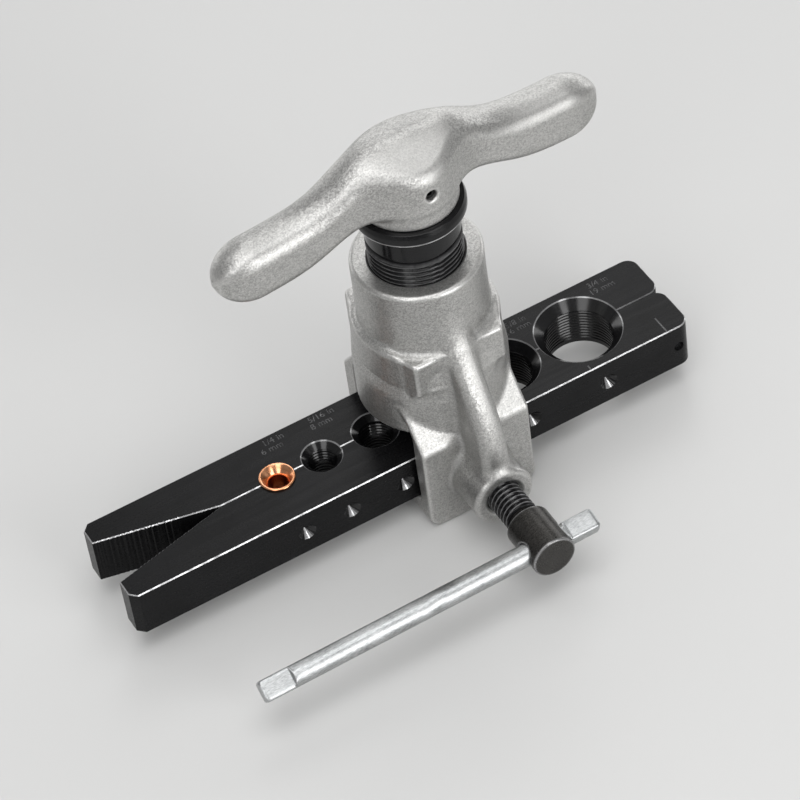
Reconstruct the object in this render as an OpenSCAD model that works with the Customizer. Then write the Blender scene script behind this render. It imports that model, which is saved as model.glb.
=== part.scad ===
// Flaring tool: a split die bar, a yoke that slides along it, and an off-centre cone fed by a T-handle.
// Millimetres. Origin on the fourth die's axis, at the bar's underside; +X towards the nose, +Z up.

/* [Die bar] */
// Length from the fourth die to the tail end
tail_reach = 100; // [96:0.5:110]
// Length from the fourth die to the nose end
nose_reach = 70.5; // [68:0.5:80]
// Width over both halves
bar_w = 30; // [28:0.5:34]
// Height of the bar
bar_h = 15; // [14:0.5:18]
// Corner radius at the nose
nose_r = 3.5; // [1:0.5:5]
// Bevel along the long edges
bar_bevel = 0.5; // [0.2:0.1:1]
// Distance of the V cut's root from the first die
root_set = 16.8; // [14:0.1:20]
// Opening of the V at the tail end
v_gap = 16; // [10:0.5:18]
// Gap left at the split with the halves closed
split_gap = 0.1; // [0.05:0.01:0.2]

/* [Dies] */
// Tube held by the first die
tube_1 = 6.35; // [6:0.05:7]
// Tube held by the second die
tube_2 = 8; // [7.5:0.05:8.5]
// Tube held by the third die
tube_3 = 9.525; // [9:0.025:10.5]
// Tube held by the fourth die
tube_4 = 12.7; // [12:0.05:13.5]
// Tube held by the fifth die
tube_5 = 15.88; // [15:0.02:16.5]
// Tube held by the sixth die
tube_6 = 19.05; // [18:0.05:19.5]
// Step from the first die to the second
step_12 = 13.5; // [13:0.1:14.5]
// Step from the second die to the third
step_23 = 16.3; // [15.5:0.1:17]
// Step from the third die to the fourth
step_34 = 19.1; // [18.5:0.1:20]
// Step from the fourth die to the fifth
step_45 = 20.5; // [20.2:0.1:21.5]
// Step from the fifth die to the sixth
step_56 = 23.7; // [23.5:0.1:24.5]
// Mouth of a clamp dimple
dimple_d = 5; // [4:0.1:5.6]

/* [Pins and tube sample] */
// Diameter of the fulcrum pin
fulcrum_d = 4; // [3:0.1:5]
// Distance of the fulcrum pin from the root of the V
fulcrum_set = 2.7; // [2.6:0.1:4]
// Diameter of the guide dowel
dowel_d = 3; // [2:0.1:3.6]
// Distance of the guide dowel from the nose end
dowel_set = 4; // [3:0.1:5]
// Wall of the copper tube
copper_t = 0.8; // [0.6:0.05:1]
// Height of the flare's lip over the bar
flare_lip = 0.1; // [0.1:0.1:1]

/* [Yoke] */
// Height of the barrel's top over the bar
yoke_rise = 56.3; // [54:0.1:60]
// Diameter of the barrel
barrel_d = 35; // [33:0.5:37]
// Diameter of the band under the barrel
band_d = 38.6; // [37.5:0.2:40]
// Height of the band's ledge over the bar
ledge_rise = 36; // [35:0.5:40]
// Height of the band's lower edge over the bar
band_low_rise = 25.5; // [23:0.5:27]
// Diameter of the skirt
skirt_d = 41.2; // [40.4:0.2:43]
// Height of the skirt's rim over the bar
rim_rise = 8.5; // [7:0.5:10]
// Diameter of the hollow inside the skirt
hollow_d = 30; // [28:0.5:31]
// Height of the hollow's roof over the bar
hollow_rise = 26; // [25.6:0.1:28]
// Width of the front shoulder block
block_w = 26; // [22:0.5:28]
// Extra width of the rear shoulder block
rear_extra = 2; // [0:0.5:3]
// Reach of the shoulder blocks from the feed axis
block_reach = 18.2; // [17.6:0.1:19.4]
// Width of a leg along the bar
leg_w = 32.8; // [30:0.2:35]
// Thickness of a leg
leg_t = 5.25; // [5:0.25:7]
// Thickness of the lips under the bar
lip_t = 7; // [5:0.5:9]
// Gap between the lips, which tubes pass through
tube_gap = 22; // [20.5:0.5:24]
// Width of a rib
rib_w = 8; // [7:0.5:10]
// Diameter of the clamp boss
boss_d = 17.6; // [16:0.2:20]
// Reach of the clamp boss from the feed axis
boss_reach = 34.5; // [33:0.25:36]
// Side play of the bar between the legs
leg_play = 1.3; // [1.2:0.05:1.6]
// Running gap of the bar on the rear leg and the lips
slide_gap = 0.15; // [0.1:0.05:0.25]

/* [Feed] */
// Outside diameter of the feed screw
feed_d = 25.2; // [24:0.1:25.6]
// Lead of the feed screw
feed_pitch = 1.5; // [1:0.25:2]
// Length of the feed screw under the collar
feed_len = 47.8; // [46:0.1:48]
// Height of the collar over the barrel, as photographed
feed_rest = 15.7; // [15.5:0.1:17]
// Plain length under the collar, above the thread
plain_len = 7; // [5:0.5:9]
// Diameter of the stop collar
collar_d = 29.6; // [28:0.2:32]
// Height of the stop collar
collar_h = 3.8; // [3:0.1:5]
// Diameter of the stub that carries the handle
stub_d = 16; // [14:0.5:18]
// Length of the stub inside the hub
stub_len = 14; // [12:0.5:14.5]

/* [Handle] */
// Span over both wings
handle_span = 114; // [100:1:130]
// Diameter of the hub
hub_d = 27.4; // [26:0.2:30]
// Height of the crown over the hub's underside
crown_h = 20.1; // [19:0.1:24]
// Height of a wing's top over the hub's underside
wing_top = 12.9; // [11:0.1:14]
// Drop of a wing's underside below the hub's underside
wing_drop = 5; // [3:0.1:7]
// Depth of a wing, front to back
wing_d = 12.6; // [11:0.2:16]
// Turn of the handle against the bar, as photographed
handle_yaw = 2.4; // [0:0.1:10]
// Diameter of the set screw
set_d = 3.2; // [2.5:0.1:4]
// Height of the set screw over the hub's underside
set_rise = 10.4; // [8:0.1:11]

/* [Cone] */
// Offset of the cone's axis from the feed axis
cone_ecc = 1.2; // [0.8:0.1:1.6]
// Largest diameter of the cone
cone_d = 24.4; // [23:0.2:25]
// Height of the plain land above the cone
land_h = 2; // [1.5:0.1:3]
// Diameter of the cone's shank
shank_d = 8; // [7:0.1:9]
// Diameter of a needle roller
needle_d = 2; // [1.5:0.1:2.2]
// Number of needle rollers
needle_n = 14; // [10:1:14]
// Length of the bearing shell
shell_len = 14; // [12:0.5:14.5]
// Wall of the bearing shell
shell_t = 0.9; // [0.6:0.1:1.2]
// Thickness of the cone's thrust washer
washer_t = 1.5; // [1:0.1:2]
// Thickness of the retaining ring
ring_t = 1.2; // [0.8:0.1:1.5]
// Diameter of the thrust ball
ball_d = 6; // [5:0.5:7]

/* [Clamp] */
// Outside diameter of the clamp screw's thread
clamp_d = 9.5; // [8.5:0.1:10.5]
// Lead of the clamp screw
clamp_pitch = 1.5; // [1:0.25:1.75]
// Length of thread that shows outside the boss
clamp_show = 10; // [8:0.5:14]
// Diameter of the drilled head
head_d = 12.5; // [11.5:0.1:15]
// Length of the drilled head with its neck cone
head_len = 15.1; // [14:0.1:18]
// Distance of the cross hole from the head's outer face
cross_set = 5.1; // [4.8:0.1:7]
// Distance of the clamp point from the front leg's inner face
point_set = 0.3; // [0.2:0.05:0.6]
// Diameter of the clamp point's cone
point_d = 4.8; // [3.6:0.1:5]
// Diameter of the tommy bar
tommy_d = 6; // [5:0.1:7]
// Length of the tommy bar
tommy_len = 99.6; // [80:0.2:120]
// Length of a flattened end
flat_len = 8.8; // [7:0.2:12]
// Extra width of a flattened end over the bar
flat_add = 0.6; // [0.5:0.1:2]
// Thickness of a flattened end
flat_t = 4.4; // [3.5:0.1:4.8]
// Tilt of the tommy bar, as photographed
tommy_tilt = 0.8; // [0:0.1:30]

/* [Hidden] */
$fn = 64;

// Clearances
fit_gap = 0.02;      // pressed or gripped pieces
run_gap = 0.05;      // turning and sliding pieces, on the radius
thread_gap = 0.1;    // screw thread in its nut, on the radius
over = 1;            // how far a cutting body runs past a face

// Die bar
tubes = [tube_1, tube_2, tube_3, tube_4, tube_5, tube_6];
die_x = [-step_12 - step_23 - step_34, -step_23 - step_34, -step_34, 0, step_45, step_45 + step_56];
flare_grow = 1.18;   // a flare is this much of its tube, and a little more
flare_add = 2.1;
function flare_d(tube) = flare_grow * tube + flare_add;
root_x = die_x[0] - root_set;
fulcrum_x = root_x + fulcrum_set;
dowel_x = nose_reach - dowel_set;
tail_bevel = 2;
pin_cover = 2;       // metal left over and under the fulcrum pin
dowel_sunk = 1.5;    // how far the dowel's end lies inside its hole
dowel_play = 0.25;   // play of the dowel in the rear half, on the radius
dowel_end_y = bar_w / 4;

// Yoke
front_in = -bar_w / 2 - leg_play;
rear_in = bar_w / 2 + slide_gap;
front_out = front_in - leg_t;
rear_out = rear_in + leg_t + leg_play - slide_gap;
lip_top = -slide_gap;
foot_z = lip_top - lip_t;
top_z = bar_h + yoke_rise;
ledge_z = bar_h + ledge_rise;
band_low_z = bar_h + band_low_rise;
rim_z = bar_h + rim_rise;
hollow_z = bar_h + hollow_rise;
clamp_z = bar_h / 2;
shoulder_rise = 6.5;          // height of the legs' plain outer faces over the bar
shoulder_z = bar_h + shoulder_rise;
shoulder_h = 13;              // height of the sloped shoulders
shoulder_in = 4.7;            // depth of the shoulders' top under the blocks
leg_round = 3;
leg_head = 4;                 // how far a leg's inner face runs up into the skirt
foot_bevel = [1.5, 2];        // outer foot edge, along Y and Z
lip_bevel = 1;
rim_bevel = 1.2;
band_slope = 3;               // height of the slope from the band to the skirt
ledge_bevel = 0.8;
ledge_fall = 0.5;             // rise of the ledge towards the barrel
crown_round = 1.6;            // rounding of the barrel's top edge
block_bevel = 0.6;
block_set = 0.3;              // step from the ledge down to the blocks
flank_turn = 25;              // where a block's flanks run into the band, degrees off the X axis
flank_in = 0.3;               // and how deep
block_top_z = ledge_z - block_set;
mouth_bevel = 0.5;            // countersinks of the two threaded holes
boss_bevel = 1.2;
rib_set = 6;                  // where the ribs leave the barrel, below its top
rib_top_z = top_z - rib_set;
rib_bite = 0.4;               // how deep a rib's head lies in the barrel
rib_crown = 2.2;              // height of a rib's rounded crest
rib_back_in = 4.1;            // depth of a rib's root in the barrel's wall
rib_stations = 16;
rib_sides = 10;
boss_flare = 1.4;             // extra diameter of the boss at its foot
boss_root_d = boss_d + boss_flare;
boss_step = 2;                // length of the boss's foot, and of its cone
boss_root_h = 2.5;
boss_round = 1.8;
rib_foot_set = 0.8;           // setback of the front rib's foot from the boss face
rib_sink = 4;                 // how far the front rib's foot lies inside the boss
rib_level = 4;                // where the ribs are fully out, over the boss
rear_rib_out = 3;             // how far the rear rib's foot stands out of its leg
rear_rib_rise = 4;            // height of the rear rib's foot over the clamp screw's axis

// Feed
collar_z = top_z + feed_rest;
hub_z = collar_z + collar_h;
feed_z = collar_z - feed_len;
feed_bore_d = shank_d + 2 * needle_d + 2 * shell_t + 4 * run_gap;
washer_z = feed_z - washer_t;
land_z = washer_z - land_h;
tip_d = 1.2;
shell_set = 2;                // bearing shell inside the screw's mouth
ring_set = 1;                 // retaining ring above the shell
ring_bite = 0.7;              // depth of the ring's groove in the shank
ring_grip = 0.6;              // depth of the ring's groove in the screw
shank_over = 2;               // shank left above the ring
shell_z = feed_z + shell_set;
ring_z = shell_z + shell_len + ring_set;
ring_in_d = shank_d - 2 * ring_bite;
ring_out_d = feed_bore_d + 2 * ring_grip;
ring_split = 1.8;
washer_set = 2.5;             // thrust washer inside the cone's edge
washer_d = cone_d - 2 * washer_set;
land_bevel = 0.4;
feed_bevel = 0.8;             // lower end of the feed screw
relief_z = collar_z - plain_len - feed_pitch;
relief_depth = 0.6;           // thread run-out under the plain length
collar_low_bevel = 0.7;
collar_top_bevel = [0.6, 1.2];
shank_top_z = ring_z + ring_t + shank_over;
feed_bore_top_z = shank_top_z + 2 * run_gap;
ball_z = shank_top_z + run_gap + ball_d / 2;
ball_pocket_z = ball_z + ball_d / 2 + run_gap;

// Handle
wing_round = 11;              // length of the rounding at a wing's end
crown_w = 22.6;               // half width of the crown's bump
crown_steep = 7;              // how steeply the crown falls to the wings
wing_lift = 2.4;              // rise of a wing's underside beside the hub
droop_w = 27;                 // where a wing's underside drops away
droop_steep = 6;              // and how steeply
hub_blend = 4;                // how tightly the hub runs into the wings
oval_top = 2.5;               // squareness of the section above its widest line
oval_low = 3;                 // and below it
oval_hub = 2.5;               // extra squareness under the hub
oval_hub_w = 16;
set_len = 4;
hex_depth = 1.5;
loft_stations = 52;
loft_even = 0.6;              // 1 spreads the stations evenly between hub and tip
loft_sides = 36;

// Clamp
boss_y = -boss_reach;
thread_end_y = boss_y - clamp_show;
head_y = thread_end_y - head_len;
cross_y = head_y + cross_set;
neck_len = (head_d - clamp_d) / 2;
point_y = front_in - point_set;
point_l = point_d / 2;
point_neck = 0.6;
point_rim = 0.8;
point_body_d = point_d + 2 * point_rim;
point_body_l = 2.4;
point_bevel = 0.5;
point_stem_d = 3.2;
point_stem_l = 5;
snap_t = 0.6;
snap_set = 2.8;               // middle of the stem's groove behind the screw's end
snap_bite = 0.45;             // the snap ring's hold in the stem and in the screw
snap_in_d = point_stem_d - 2 * snap_bite;
snap_out_d = point_stem_d + 2 * snap_bite;
snap_split = 0.8;
head_bevel = 0.6;
clamp_relief = 0.7;           // thread run-out at the head's neck
press_bevel = 1;              // corners of the tommy bar's pressed ends
flat_w = tommy_d + flat_add;
press_lap = 0.5;              // how far the round bar runs into them
end_play = 0.2;               // gap of a pressed end to the head
screw_end_y = point_y - point_l - point_neck - point_body_l - run_gap;
cross_d = tommy_d + 4 * run_gap;
tommy_x = head_d / 2 + end_play + flat_len - tommy_len;

// Points of an arc, degrees
function arc(cx, cy, r, a0, a1, n = 6) =
    [for (i = [0:n]) let (a = a0 + (a1 - a0) * i / n) [cx + r * cos(a), cy + r * sin(a)]];

// A side view, given as [y, z] points, made w wide along X
module side_view(w) {
    rotate([90, 0, 90]) linear_extrude(w, center = true) children();
}

// Things that turn about the clamp screw's axis, with their own Z along +Y from station y
module on_clamp_axis(y) {
    translate([0, y, clamp_z]) rotate([-90, 0, 0]) children();
}

// Plan of one half, on the +Y side
module half_plan() {
    s = split_gap / 2;
    w = bar_w / 2;
    polygon(concat(
        [[root_x, s]],
        arc(nose_reach - nose_r, s + nose_r, nose_r, -90, 0),
        arc(nose_reach - nose_r, w - nose_r, nose_r, 0, 90),
        [[-tail_reach + tail_bevel, w], [-tail_reach, w - tail_bevel], [-tail_reach, v_gap / 2]]));
}

// One half of the bar on the +Y side, with its half-dies and its half of the fulcrum pocket
module die_half() {
    difference() {
        intersection() {
            linear_extrude(bar_h) half_plan();
            translate([(nose_reach - tail_reach) / 2, 0, 0])
                side_view(nose_reach + tail_reach + 2 * over) bar_section();
        }
        for (i = [0:len(tubes) - 1]) translate([die_x[i], 0, 0]) die_cut(tubes[i]);
        translate([fulcrum_x, 0, pin_cover])
            cylinder(d = fulcrum_d + 2 * run_gap, h = bar_h - 2 * pin_cover);
    }
}

// Bevelled section of the whole bar
module bar_section() {
    w = bar_w / 2;
    b = bar_bevel;
    polygon([[-w + b, 0], [w - b, 0], [w, b], [w, bar_h - b], [w - b, bar_h], [-w + b, bar_h],
        [-w, bar_h - b], [-w, b]]);
}

// Bore of one die with its 45 degree mouth
module die_cut(tube) {
    depth = (flare_d(tube) - tube) / 2;
    translate([0, 0, -over]) cylinder(d = tube, h = bar_h + 2 * over);
    translate([0, 0, bar_h - depth])
        cylinder(d1 = tube, d2 = flare_d(tube) + 2 * over, h = depth + over);
}

module rear_die_bar() {
    color("#1c1c1e") difference() {
        die_half();
        translate([dowel_x, -over, clamp_z]) rotate([-90, 0, 0])
            cylinder(d = dowel_d + 2 * dowel_play, h = dowel_end_y + 2 * over);
    }
}

module front_die_bar() {
    color("#1c1c1e") difference() {
        mirror([0, 1, 0]) die_half();
        for (x = die_x) translate([x, -bar_w / 2, clamp_z]) rotate([-90, 0, 0])
            cylinder(d1 = dimple_d, d2 = 0, h = dimple_d / 2);
        translate([dowel_x, -bar_w / 2 - over, clamp_z]) rotate([-90, 0, 0])
            cylinder(d = dowel_d, h = bar_w / 2 + 2 * over);
    }
}

module fulcrum_pin() {
    color("#8a8c90") translate([fulcrum_x, 0, pin_cover + run_gap])
        cylinder(d = fulcrum_d, h = bar_h - 2 * pin_cover - 2 * run_gap);
}

module guide_dowel() {
    color("#8a8c90") translate([dowel_x, -bar_w / 2 + dowel_sunk, clamp_z]) rotate([-90, 0, 0])
        cylinder(d = dowel_d - 2 * fit_gap, h = bar_w / 2 - dowel_sunk + dowel_end_y);
}

// Tube sample: its flare lies on the die's mouth and its lip stands a little proud
module copper_tube() {
    r = tube_1 / 2 - fit_gap;
    rim = flare_d(tube_1) / 2 - fit_gap + flare_lip;
    z1 = bar_h - (flare_d(tube_1) - tube_1) / 2;
    z2 = z1 + rim - r;
    t = copper_t;
    color("#b86a3c") translate([die_x[0], 0, 0]) rotate_extrude() polygon([
        [r - t, 0], [r, 0], [r, z1], [rim, z2], [rim - t * sin(45), z2 + t * cos(45)],
        [r - t, z1 + t * tan(22.5)]]);
}

// Revolved body of the casting: skirt, band, barrel
module yoke_turned() {
    sr = skirt_d / 2;
    br = band_d / 2;
    rr = barrel_d / 2;
    rotate_extrude() polygon(concat(
        [[0, rim_z], [sr - rim_bevel, rim_z], [sr, rim_z + rim_bevel], [sr, band_low_z - band_slope],
         [br, band_low_z], [br, ledge_z - ledge_bevel], [br - ledge_bevel, ledge_z],
         [rr, ledge_z + ledge_fall]],
        arc(rr - crown_round, top_z - crown_round, crown_round, 0, 90),
        [[0, top_z]]));
}

// One leg on the -Y side, with its lip, sloped shoulder and rounded upright edges
module yoke_leg(inner, outer) {
    intersection() {
        side_view(leg_w) polygon([
            [inner, lip_top], [inner, rim_z + leg_head],
            [-block_reach + shoulder_in, shoulder_z + shoulder_h], [outer, shoulder_z],
            [outer, foot_z + foot_bevel[1]], [outer + foot_bevel[0], foot_z],
            [-tube_gap / 2 - lip_bevel, foot_z], [-tube_gap / 2, foot_z + lip_bevel],
            [-tube_gap / 2, lip_top]]);
        translate([0, 0, foot_z - over]) linear_extrude(top_z) leg_plan(outer);
    }
}

module leg_plan(outer) {
    w = leg_w / 2;
    polygon(concat(
        arc(-w + leg_round, outer + leg_round, leg_round, 180, 270),
        arc(w - leg_round, outer + leg_round, leg_round, 270, 360),
        [[w, 0], [-w, 0]]));
}

// Shoulder block of the band on the -Y side: a flat front whose flanks run back into the band
module yoke_block(w) {
    low = band_low_z - band_slope;
    foot = (band_d / 2 - flank_in) * [cos(flank_turn), -sin(flank_turn)];
    corner = w / 2 - (foot[0] - w / 2) * over / (block_reach + foot[1]);
    intersection() {
        side_view(band_d) polygon([[0, low], [-block_reach + band_slope, low], [-block_reach, band_low_z],
            [-block_reach, block_top_z - block_bevel], [-block_reach + block_bevel, block_top_z],
            [0, block_top_z]]);
        translate([0, 0, rim_z]) linear_extrude(top_z) polygon([
            [-corner, -block_reach - over], [corner, -block_reach - over], foot, [foot[0], over],
            [-foot[0], over], [-foot[0], foot[1]]]);
    }
}

// Reach of a rib's crest at height z: it swings out from the barrel to its full reach at height level
function rib_out(z, out, level) =
    let (r = barrel_d / 2 - rib_bite, t = min(1, (rib_top_z - z) / (rib_top_z - level)))
    r + (out - r) * t * t * (3 - 2 * t);
// Root of a rib: in the leg below the skirt, then in the barrel's wall
function rib_back(z) = z < rim_z + leg_head ? over - front_in : barrel_d / 2 - rib_back_in;
// Section of a rib at height z: a flat root and a rounded crest
function rib_ring(z, out, level) =
    let (c = rib_out(z, out, level) - rib_crown, w = rib_w / 2, b = rib_back(z))
    concat([[-w, -b, z]],
        [for (k = [0:rib_sides]) let (a = 180 + 180 * k / rib_sides)
            [w * cos(a), rib_crown * sin(a) - c, z]],
        [[w, -b, z]]);

// Rib on the -Y side, lofted from its foot up to the barrel
module yoke_rib(out, low) {
    m = rib_sides + 3;
    n = rib_stations;
    level = clamp_z + boss_d / 2 + rib_level;
    rings = [for (i = [0:n]) each rib_ring(low + (rib_top_z - low) * i / n, out, level)];
    sides = [for (i = [0:n - 1], k = [0:m - 1]) let (a = i * m + k, b = i * m + (k + 1) % m)
        each [[a, b + m, b], [a, a + m, b + m]]];
    ends = [[for (k = [0:m - 1]) k], [for (k = [0:m - 1]) n * m + m - 1 - k]];
    polyhedron(points = rings, faces = concat(sides, ends));
}

// Boss of the clamp screw, with its flared foot and rounded face
module yoke_boss() {
    r = boss_d / 2;
    l = front_in - boss_y - over;
    on_clamp_axis(boss_y) rotate_extrude() polygon(concat(
        [[0, l], [boss_root_d / 2, l], [boss_root_d / 2, front_out - boss_y - boss_step],
         [r, front_out - boss_y - boss_step - boss_root_h]],
        arc(r - boss_round, boss_round, boss_round, 0, -90),
        [[0, 0]]));
}

module yoke() {
    color("#c9c9c7") difference() {
        union() {
            yoke_turned();
            yoke_leg(front_in, front_out);
            mirror([0, 1, 0]) yoke_leg(-rear_in, -rear_out);
            yoke_block(block_w);
            mirror([0, 1, 0]) yoke_block(block_w + rear_extra);
            yoke_rib(boss_reach - rib_foot_set, clamp_z + boss_d / 2 - rib_sink);
            mirror([0, 1, 0]) yoke_rib(rear_out + rear_rib_out, clamp_z + rear_rib_rise);
            intersection() {
                yoke_boss();
                translate([-leg_w / 2, boss_y - over, foot_z]) cube([leg_w, boss_reach, top_z]);
            }
        }
        translate([0, 0, hollow_z - over]) cylinder(d = feed_d + 2 * thread_gap, h = top_z);
        translate([0, 0, lip_top]) cylinder(d = hollow_d, h = hollow_z - lip_top);
        translate([0, 0, top_z - mouth_bevel])
            cylinder(d1 = feed_d, d2 = feed_d + 4 * mouth_bevel, h = 2 * mouth_bevel);
        on_clamp_axis(boss_y - over) cylinder(d = clamp_d + 2 * thread_gap, h = boss_reach);
        on_clamp_axis(boss_y - boss_bevel)
            cylinder(d1 = clamp_d + 4 * boss_bevel, d2 = clamp_d, h = 2 * boss_bevel);
    }
}

// Threaded length, run-out groove and plain length of the feed screw
module feed_profile() {
    r = feed_d / 2;
    g = r - relief_depth;
    polygon([[0, feed_z], [r - feed_bevel, feed_z], [r, feed_z + feed_bevel],
        [r, relief_z - relief_depth], [g, relief_z], [g, relief_z + feed_pitch - relief_depth],
        [r, relief_z + feed_pitch], [r, collar_z], [0, collar_z]]);
}

module feed_screw() {
    color("#26262a") difference() {
        union() {
            rotate_extrude() feed_profile();
            translate([0, 0, collar_z]) cylinder(d = stub_d, h = collar_h + stub_len);
        }
        translate([cone_ecc, 0, feed_z - over])
            cylinder(d = feed_bore_d, h = feed_bore_top_z - feed_z + over);
        translate([cone_ecc, 0, ring_z - run_gap])
            cylinder(d = ring_out_d + 2 * run_gap, h = ring_t + 2 * run_gap);
        translate([0, 0, feed_bore_top_z - over])
            cylinder(d = ball_d + 4 * run_gap, h = ball_pocket_z - feed_bore_top_z + over);
    }
}

module stop_collar() {
    r = collar_d / 2;
    color("#1b1b1d") translate([0, 0, collar_z]) rotate_extrude() polygon([
        [stub_d / 2 + fit_gap, 0], [r - collar_low_bevel, 0], [r, collar_low_bevel],
        [r, collar_h - collar_top_bevel[1]], [r - collar_top_bevel[0], collar_h],
        [stub_d / 2 + fit_gap, collar_h]]);
}

// Smooth step between the crown's bump and the wings
function bump(x, w, p) = 1 / (1 + pow(abs(x) / w, p));
// Rounding of a wing's end, 1 along the wing and 0 at its tip
function tip_round(x) =
    let (u = (abs(x) - handle_span / 2 + wing_round) / wing_round)
    u <= 0 ? 1 : sqrt(max(0, 1 - u * u));
function wing_top_z(x) = hub_z + wing_top + (crown_h - wing_top) * bump(x, crown_w, crown_steep);
function wing_low_z(x) = hub_z - wing_drop + (wing_drop + wing_lift) * bump(x, droop_w, droop_steep);
function hub_half(x) = hub_d / 2 * sqrt(max(0, 1 - pow(2 * x / hub_d, 2)));
function wing_half(x) =
    pow(pow(hub_half(x), hub_blend) + pow(wing_d / 2, hub_blend), 1 / hub_blend);
function sgn_pow(v, p) = sign(v) * pow(abs(v), p);
// Section of the handle at x: a squarish oval, flatter under the hub
function handle_ring(x) =
    let (zc = (wing_top_z(x) + wing_low_z(x)) / 2,
         h = (wing_top_z(x) - wing_low_z(x)) / 2 * tip_round(x),
         d = wing_half(x) * tip_round(x), low = oval_low + oval_hub * bump(x, oval_hub_w, 6))
    [for (k = [0:loft_sides - 1]) let (a = 360 * k / loft_sides, n = sin(a) < 0 ? low : oval_top)
        [x, d * sgn_pow(cos(a), 2 / n), zc + h * sgn_pow(sin(a), 2 / n)]];

// Stations of the handle's sections, closer together at the hub and near the tips
function station(t) = handle_span / 2 * sin(90 * t * (loft_even + (1 - loft_even) * t * t));

// Loft through the handle's sections, closed by a point at each tip
module handle_loft() {
    reach = handle_span / 2;
    m = loft_sides;
    n = loft_stations;
    rings = [for (i = [1:n]) each handle_ring(station(2 * i / (n + 1) - 1))];
    tip_z = (wing_top_z(reach) + wing_low_z(reach)) / 2;
    sides = [for (i = [0:n - 2], k = [0:m - 1]) let (a = i * m + k, b = i * m + (k + 1) % m)
        each [[a, b + m, b], [a, a + m, b + m]]];
    tips = [for (k = [0:m - 1]) let (j = (k + 1) % m)
        each [[k, j, n * m], [(n - 1) * m + j, (n - 1) * m + k, n * m + 1]]];
    ends = [[-reach, 0, tip_z], [reach, 0, tip_z]];
    polyhedron(points = concat(rings, ends), faces = concat(sides, tips));
}

module handle() {
    color("#cfcfcd") rotate([0, 0, handle_yaw]) difference() {
        union() {
            handle_loft();
            translate([0, 0, hub_z]) cylinder(d = hub_d - over, h = set_rise - set_d / 2);
        }
        translate([0, 0, hub_z - 2 * wing_drop])
            cylinder(d = collar_d + 2 * over, h = 2 * wing_drop);
        translate([0, 0, hub_z - over])
            cylinder(d = stub_d + 2 * fit_gap, h = stub_len + over + fit_gap);
        translate([0, 0, hub_z + set_rise]) rotate([90, 0, 0])
            cylinder(d = set_d + 2 * fit_gap, h = hub_d);
    }
}

module handle_set_screw() {
    color("#2a2a2c") rotate([0, 0, handle_yaw])
        translate([0, -stub_d / 2 - fit_gap, hub_z + set_rise]) rotate([90, 0, 0]) difference() {
            cylinder(d = set_d, h = set_len);
            translate([0, 0, set_len - hex_depth])
                cylinder(d = set_d / 2, h = hex_depth + over, $fn = 6);
        }
}

module thrust_ball() {
    color("#b8bcc0") translate([0, 0, ball_z]) sphere(d = ball_d);
}

module flaring_cone() {
    r = cone_d / 2;
    s = shank_d / 2;
    g = ring_in_d / 2 - run_gap;
    color("#a9adb2") translate([cone_ecc, 0, 0]) rotate_extrude() polygon([
        [0, land_z - r + tip_d / 2], [tip_d / 2, land_z - r + tip_d / 2], [r, land_z],
        [r, washer_z - land_bevel], [r - land_bevel, washer_z], [s, washer_z],
        [s, ring_z - run_gap], [g, ring_z - run_gap], [g, ring_z + ring_t + run_gap],
        [s, ring_z + ring_t + run_gap], [s, shank_top_z], [0, shank_top_z]]);
}

module bearing_shell() {
    ri = shank_d / 2 + needle_d + 2 * run_gap;
    lip = shank_d / 2 + 3 * run_gap;
    color("#9a9ea4") translate([cone_ecc, 0, shell_z]) rotate_extrude() polygon([
        [lip, 0], [feed_bore_d / 2 - fit_gap, 0], [feed_bore_d / 2 - fit_gap, shell_len],
        [lip, shell_len], [lip, shell_len - shell_t], [ri, shell_len - shell_t], [ri, shell_t],
        [lip, shell_t]]);
}

module needle_rollers() {
    color("#c2c6cb") translate([cone_ecc, 0, shell_z + shell_t + run_gap])
        for (i = [0:needle_n - 1]) rotate([0, 0, 360 * i / needle_n])
            translate([shank_d / 2 + needle_d / 2 + run_gap, 0, 0])
                cylinder(d = needle_d, h = shell_len - 2 * shell_t - 2 * run_gap, $fn = 24);
}

module cone_thrust_washer() {
    color("#b08d4a") translate([cone_ecc, 0, washer_z]) difference() {
        cylinder(d = washer_d, h = washer_t);
        translate([0, 0, -over]) cylinder(d = shank_d + 4 * run_gap, h = washer_t + 2 * over);
    }
}

// Split ring, half in the shank's groove and half in the screw's
module cone_retaining_ring() {
    color("#6d7076") translate([cone_ecc, 0, ring_z]) difference() {
        cylinder(d = ring_out_d, h = ring_t);
        translate([0, 0, -over]) cylinder(d = ring_in_d, h = ring_t + 2 * over);
        translate([0, -ring_split / 2, -over]) cube([ring_out_d, ring_split, ring_t + 2 * over]);
    }
}

module clamp_screw() {
    color("#2b2b2d") difference() {
        on_clamp_axis(head_y) rotate_extrude() polygon([
            [0, 0], [head_d / 2 - head_bevel, 0], [head_d / 2, head_bevel],
            [head_d / 2, head_len - neck_len], [clamp_d / 2 - clamp_relief, head_len],
            [clamp_d / 2 - clamp_relief, head_len + clamp_pitch],
            [clamp_d / 2, head_len + clamp_pitch + clamp_relief],
            [clamp_d / 2, screw_end_y - head_y], [0, screw_end_y - head_y]]);
        translate([0, cross_y, clamp_z]) rotate([0, 90 - tommy_tilt, 0])
            cylinder(d = cross_d, h = 2 * head_d, center = true);
        on_clamp_axis(screw_end_y - point_stem_l - run_gap)
            cylinder(d = point_stem_d + 2 * run_gap, h = 2 * point_stem_l);
        on_clamp_axis(screw_end_y - snap_set - snap_t / 2 - run_gap)
            cylinder(d = snap_out_d + 2 * run_gap, h = snap_t + 2 * run_gap);
    }
}

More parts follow.
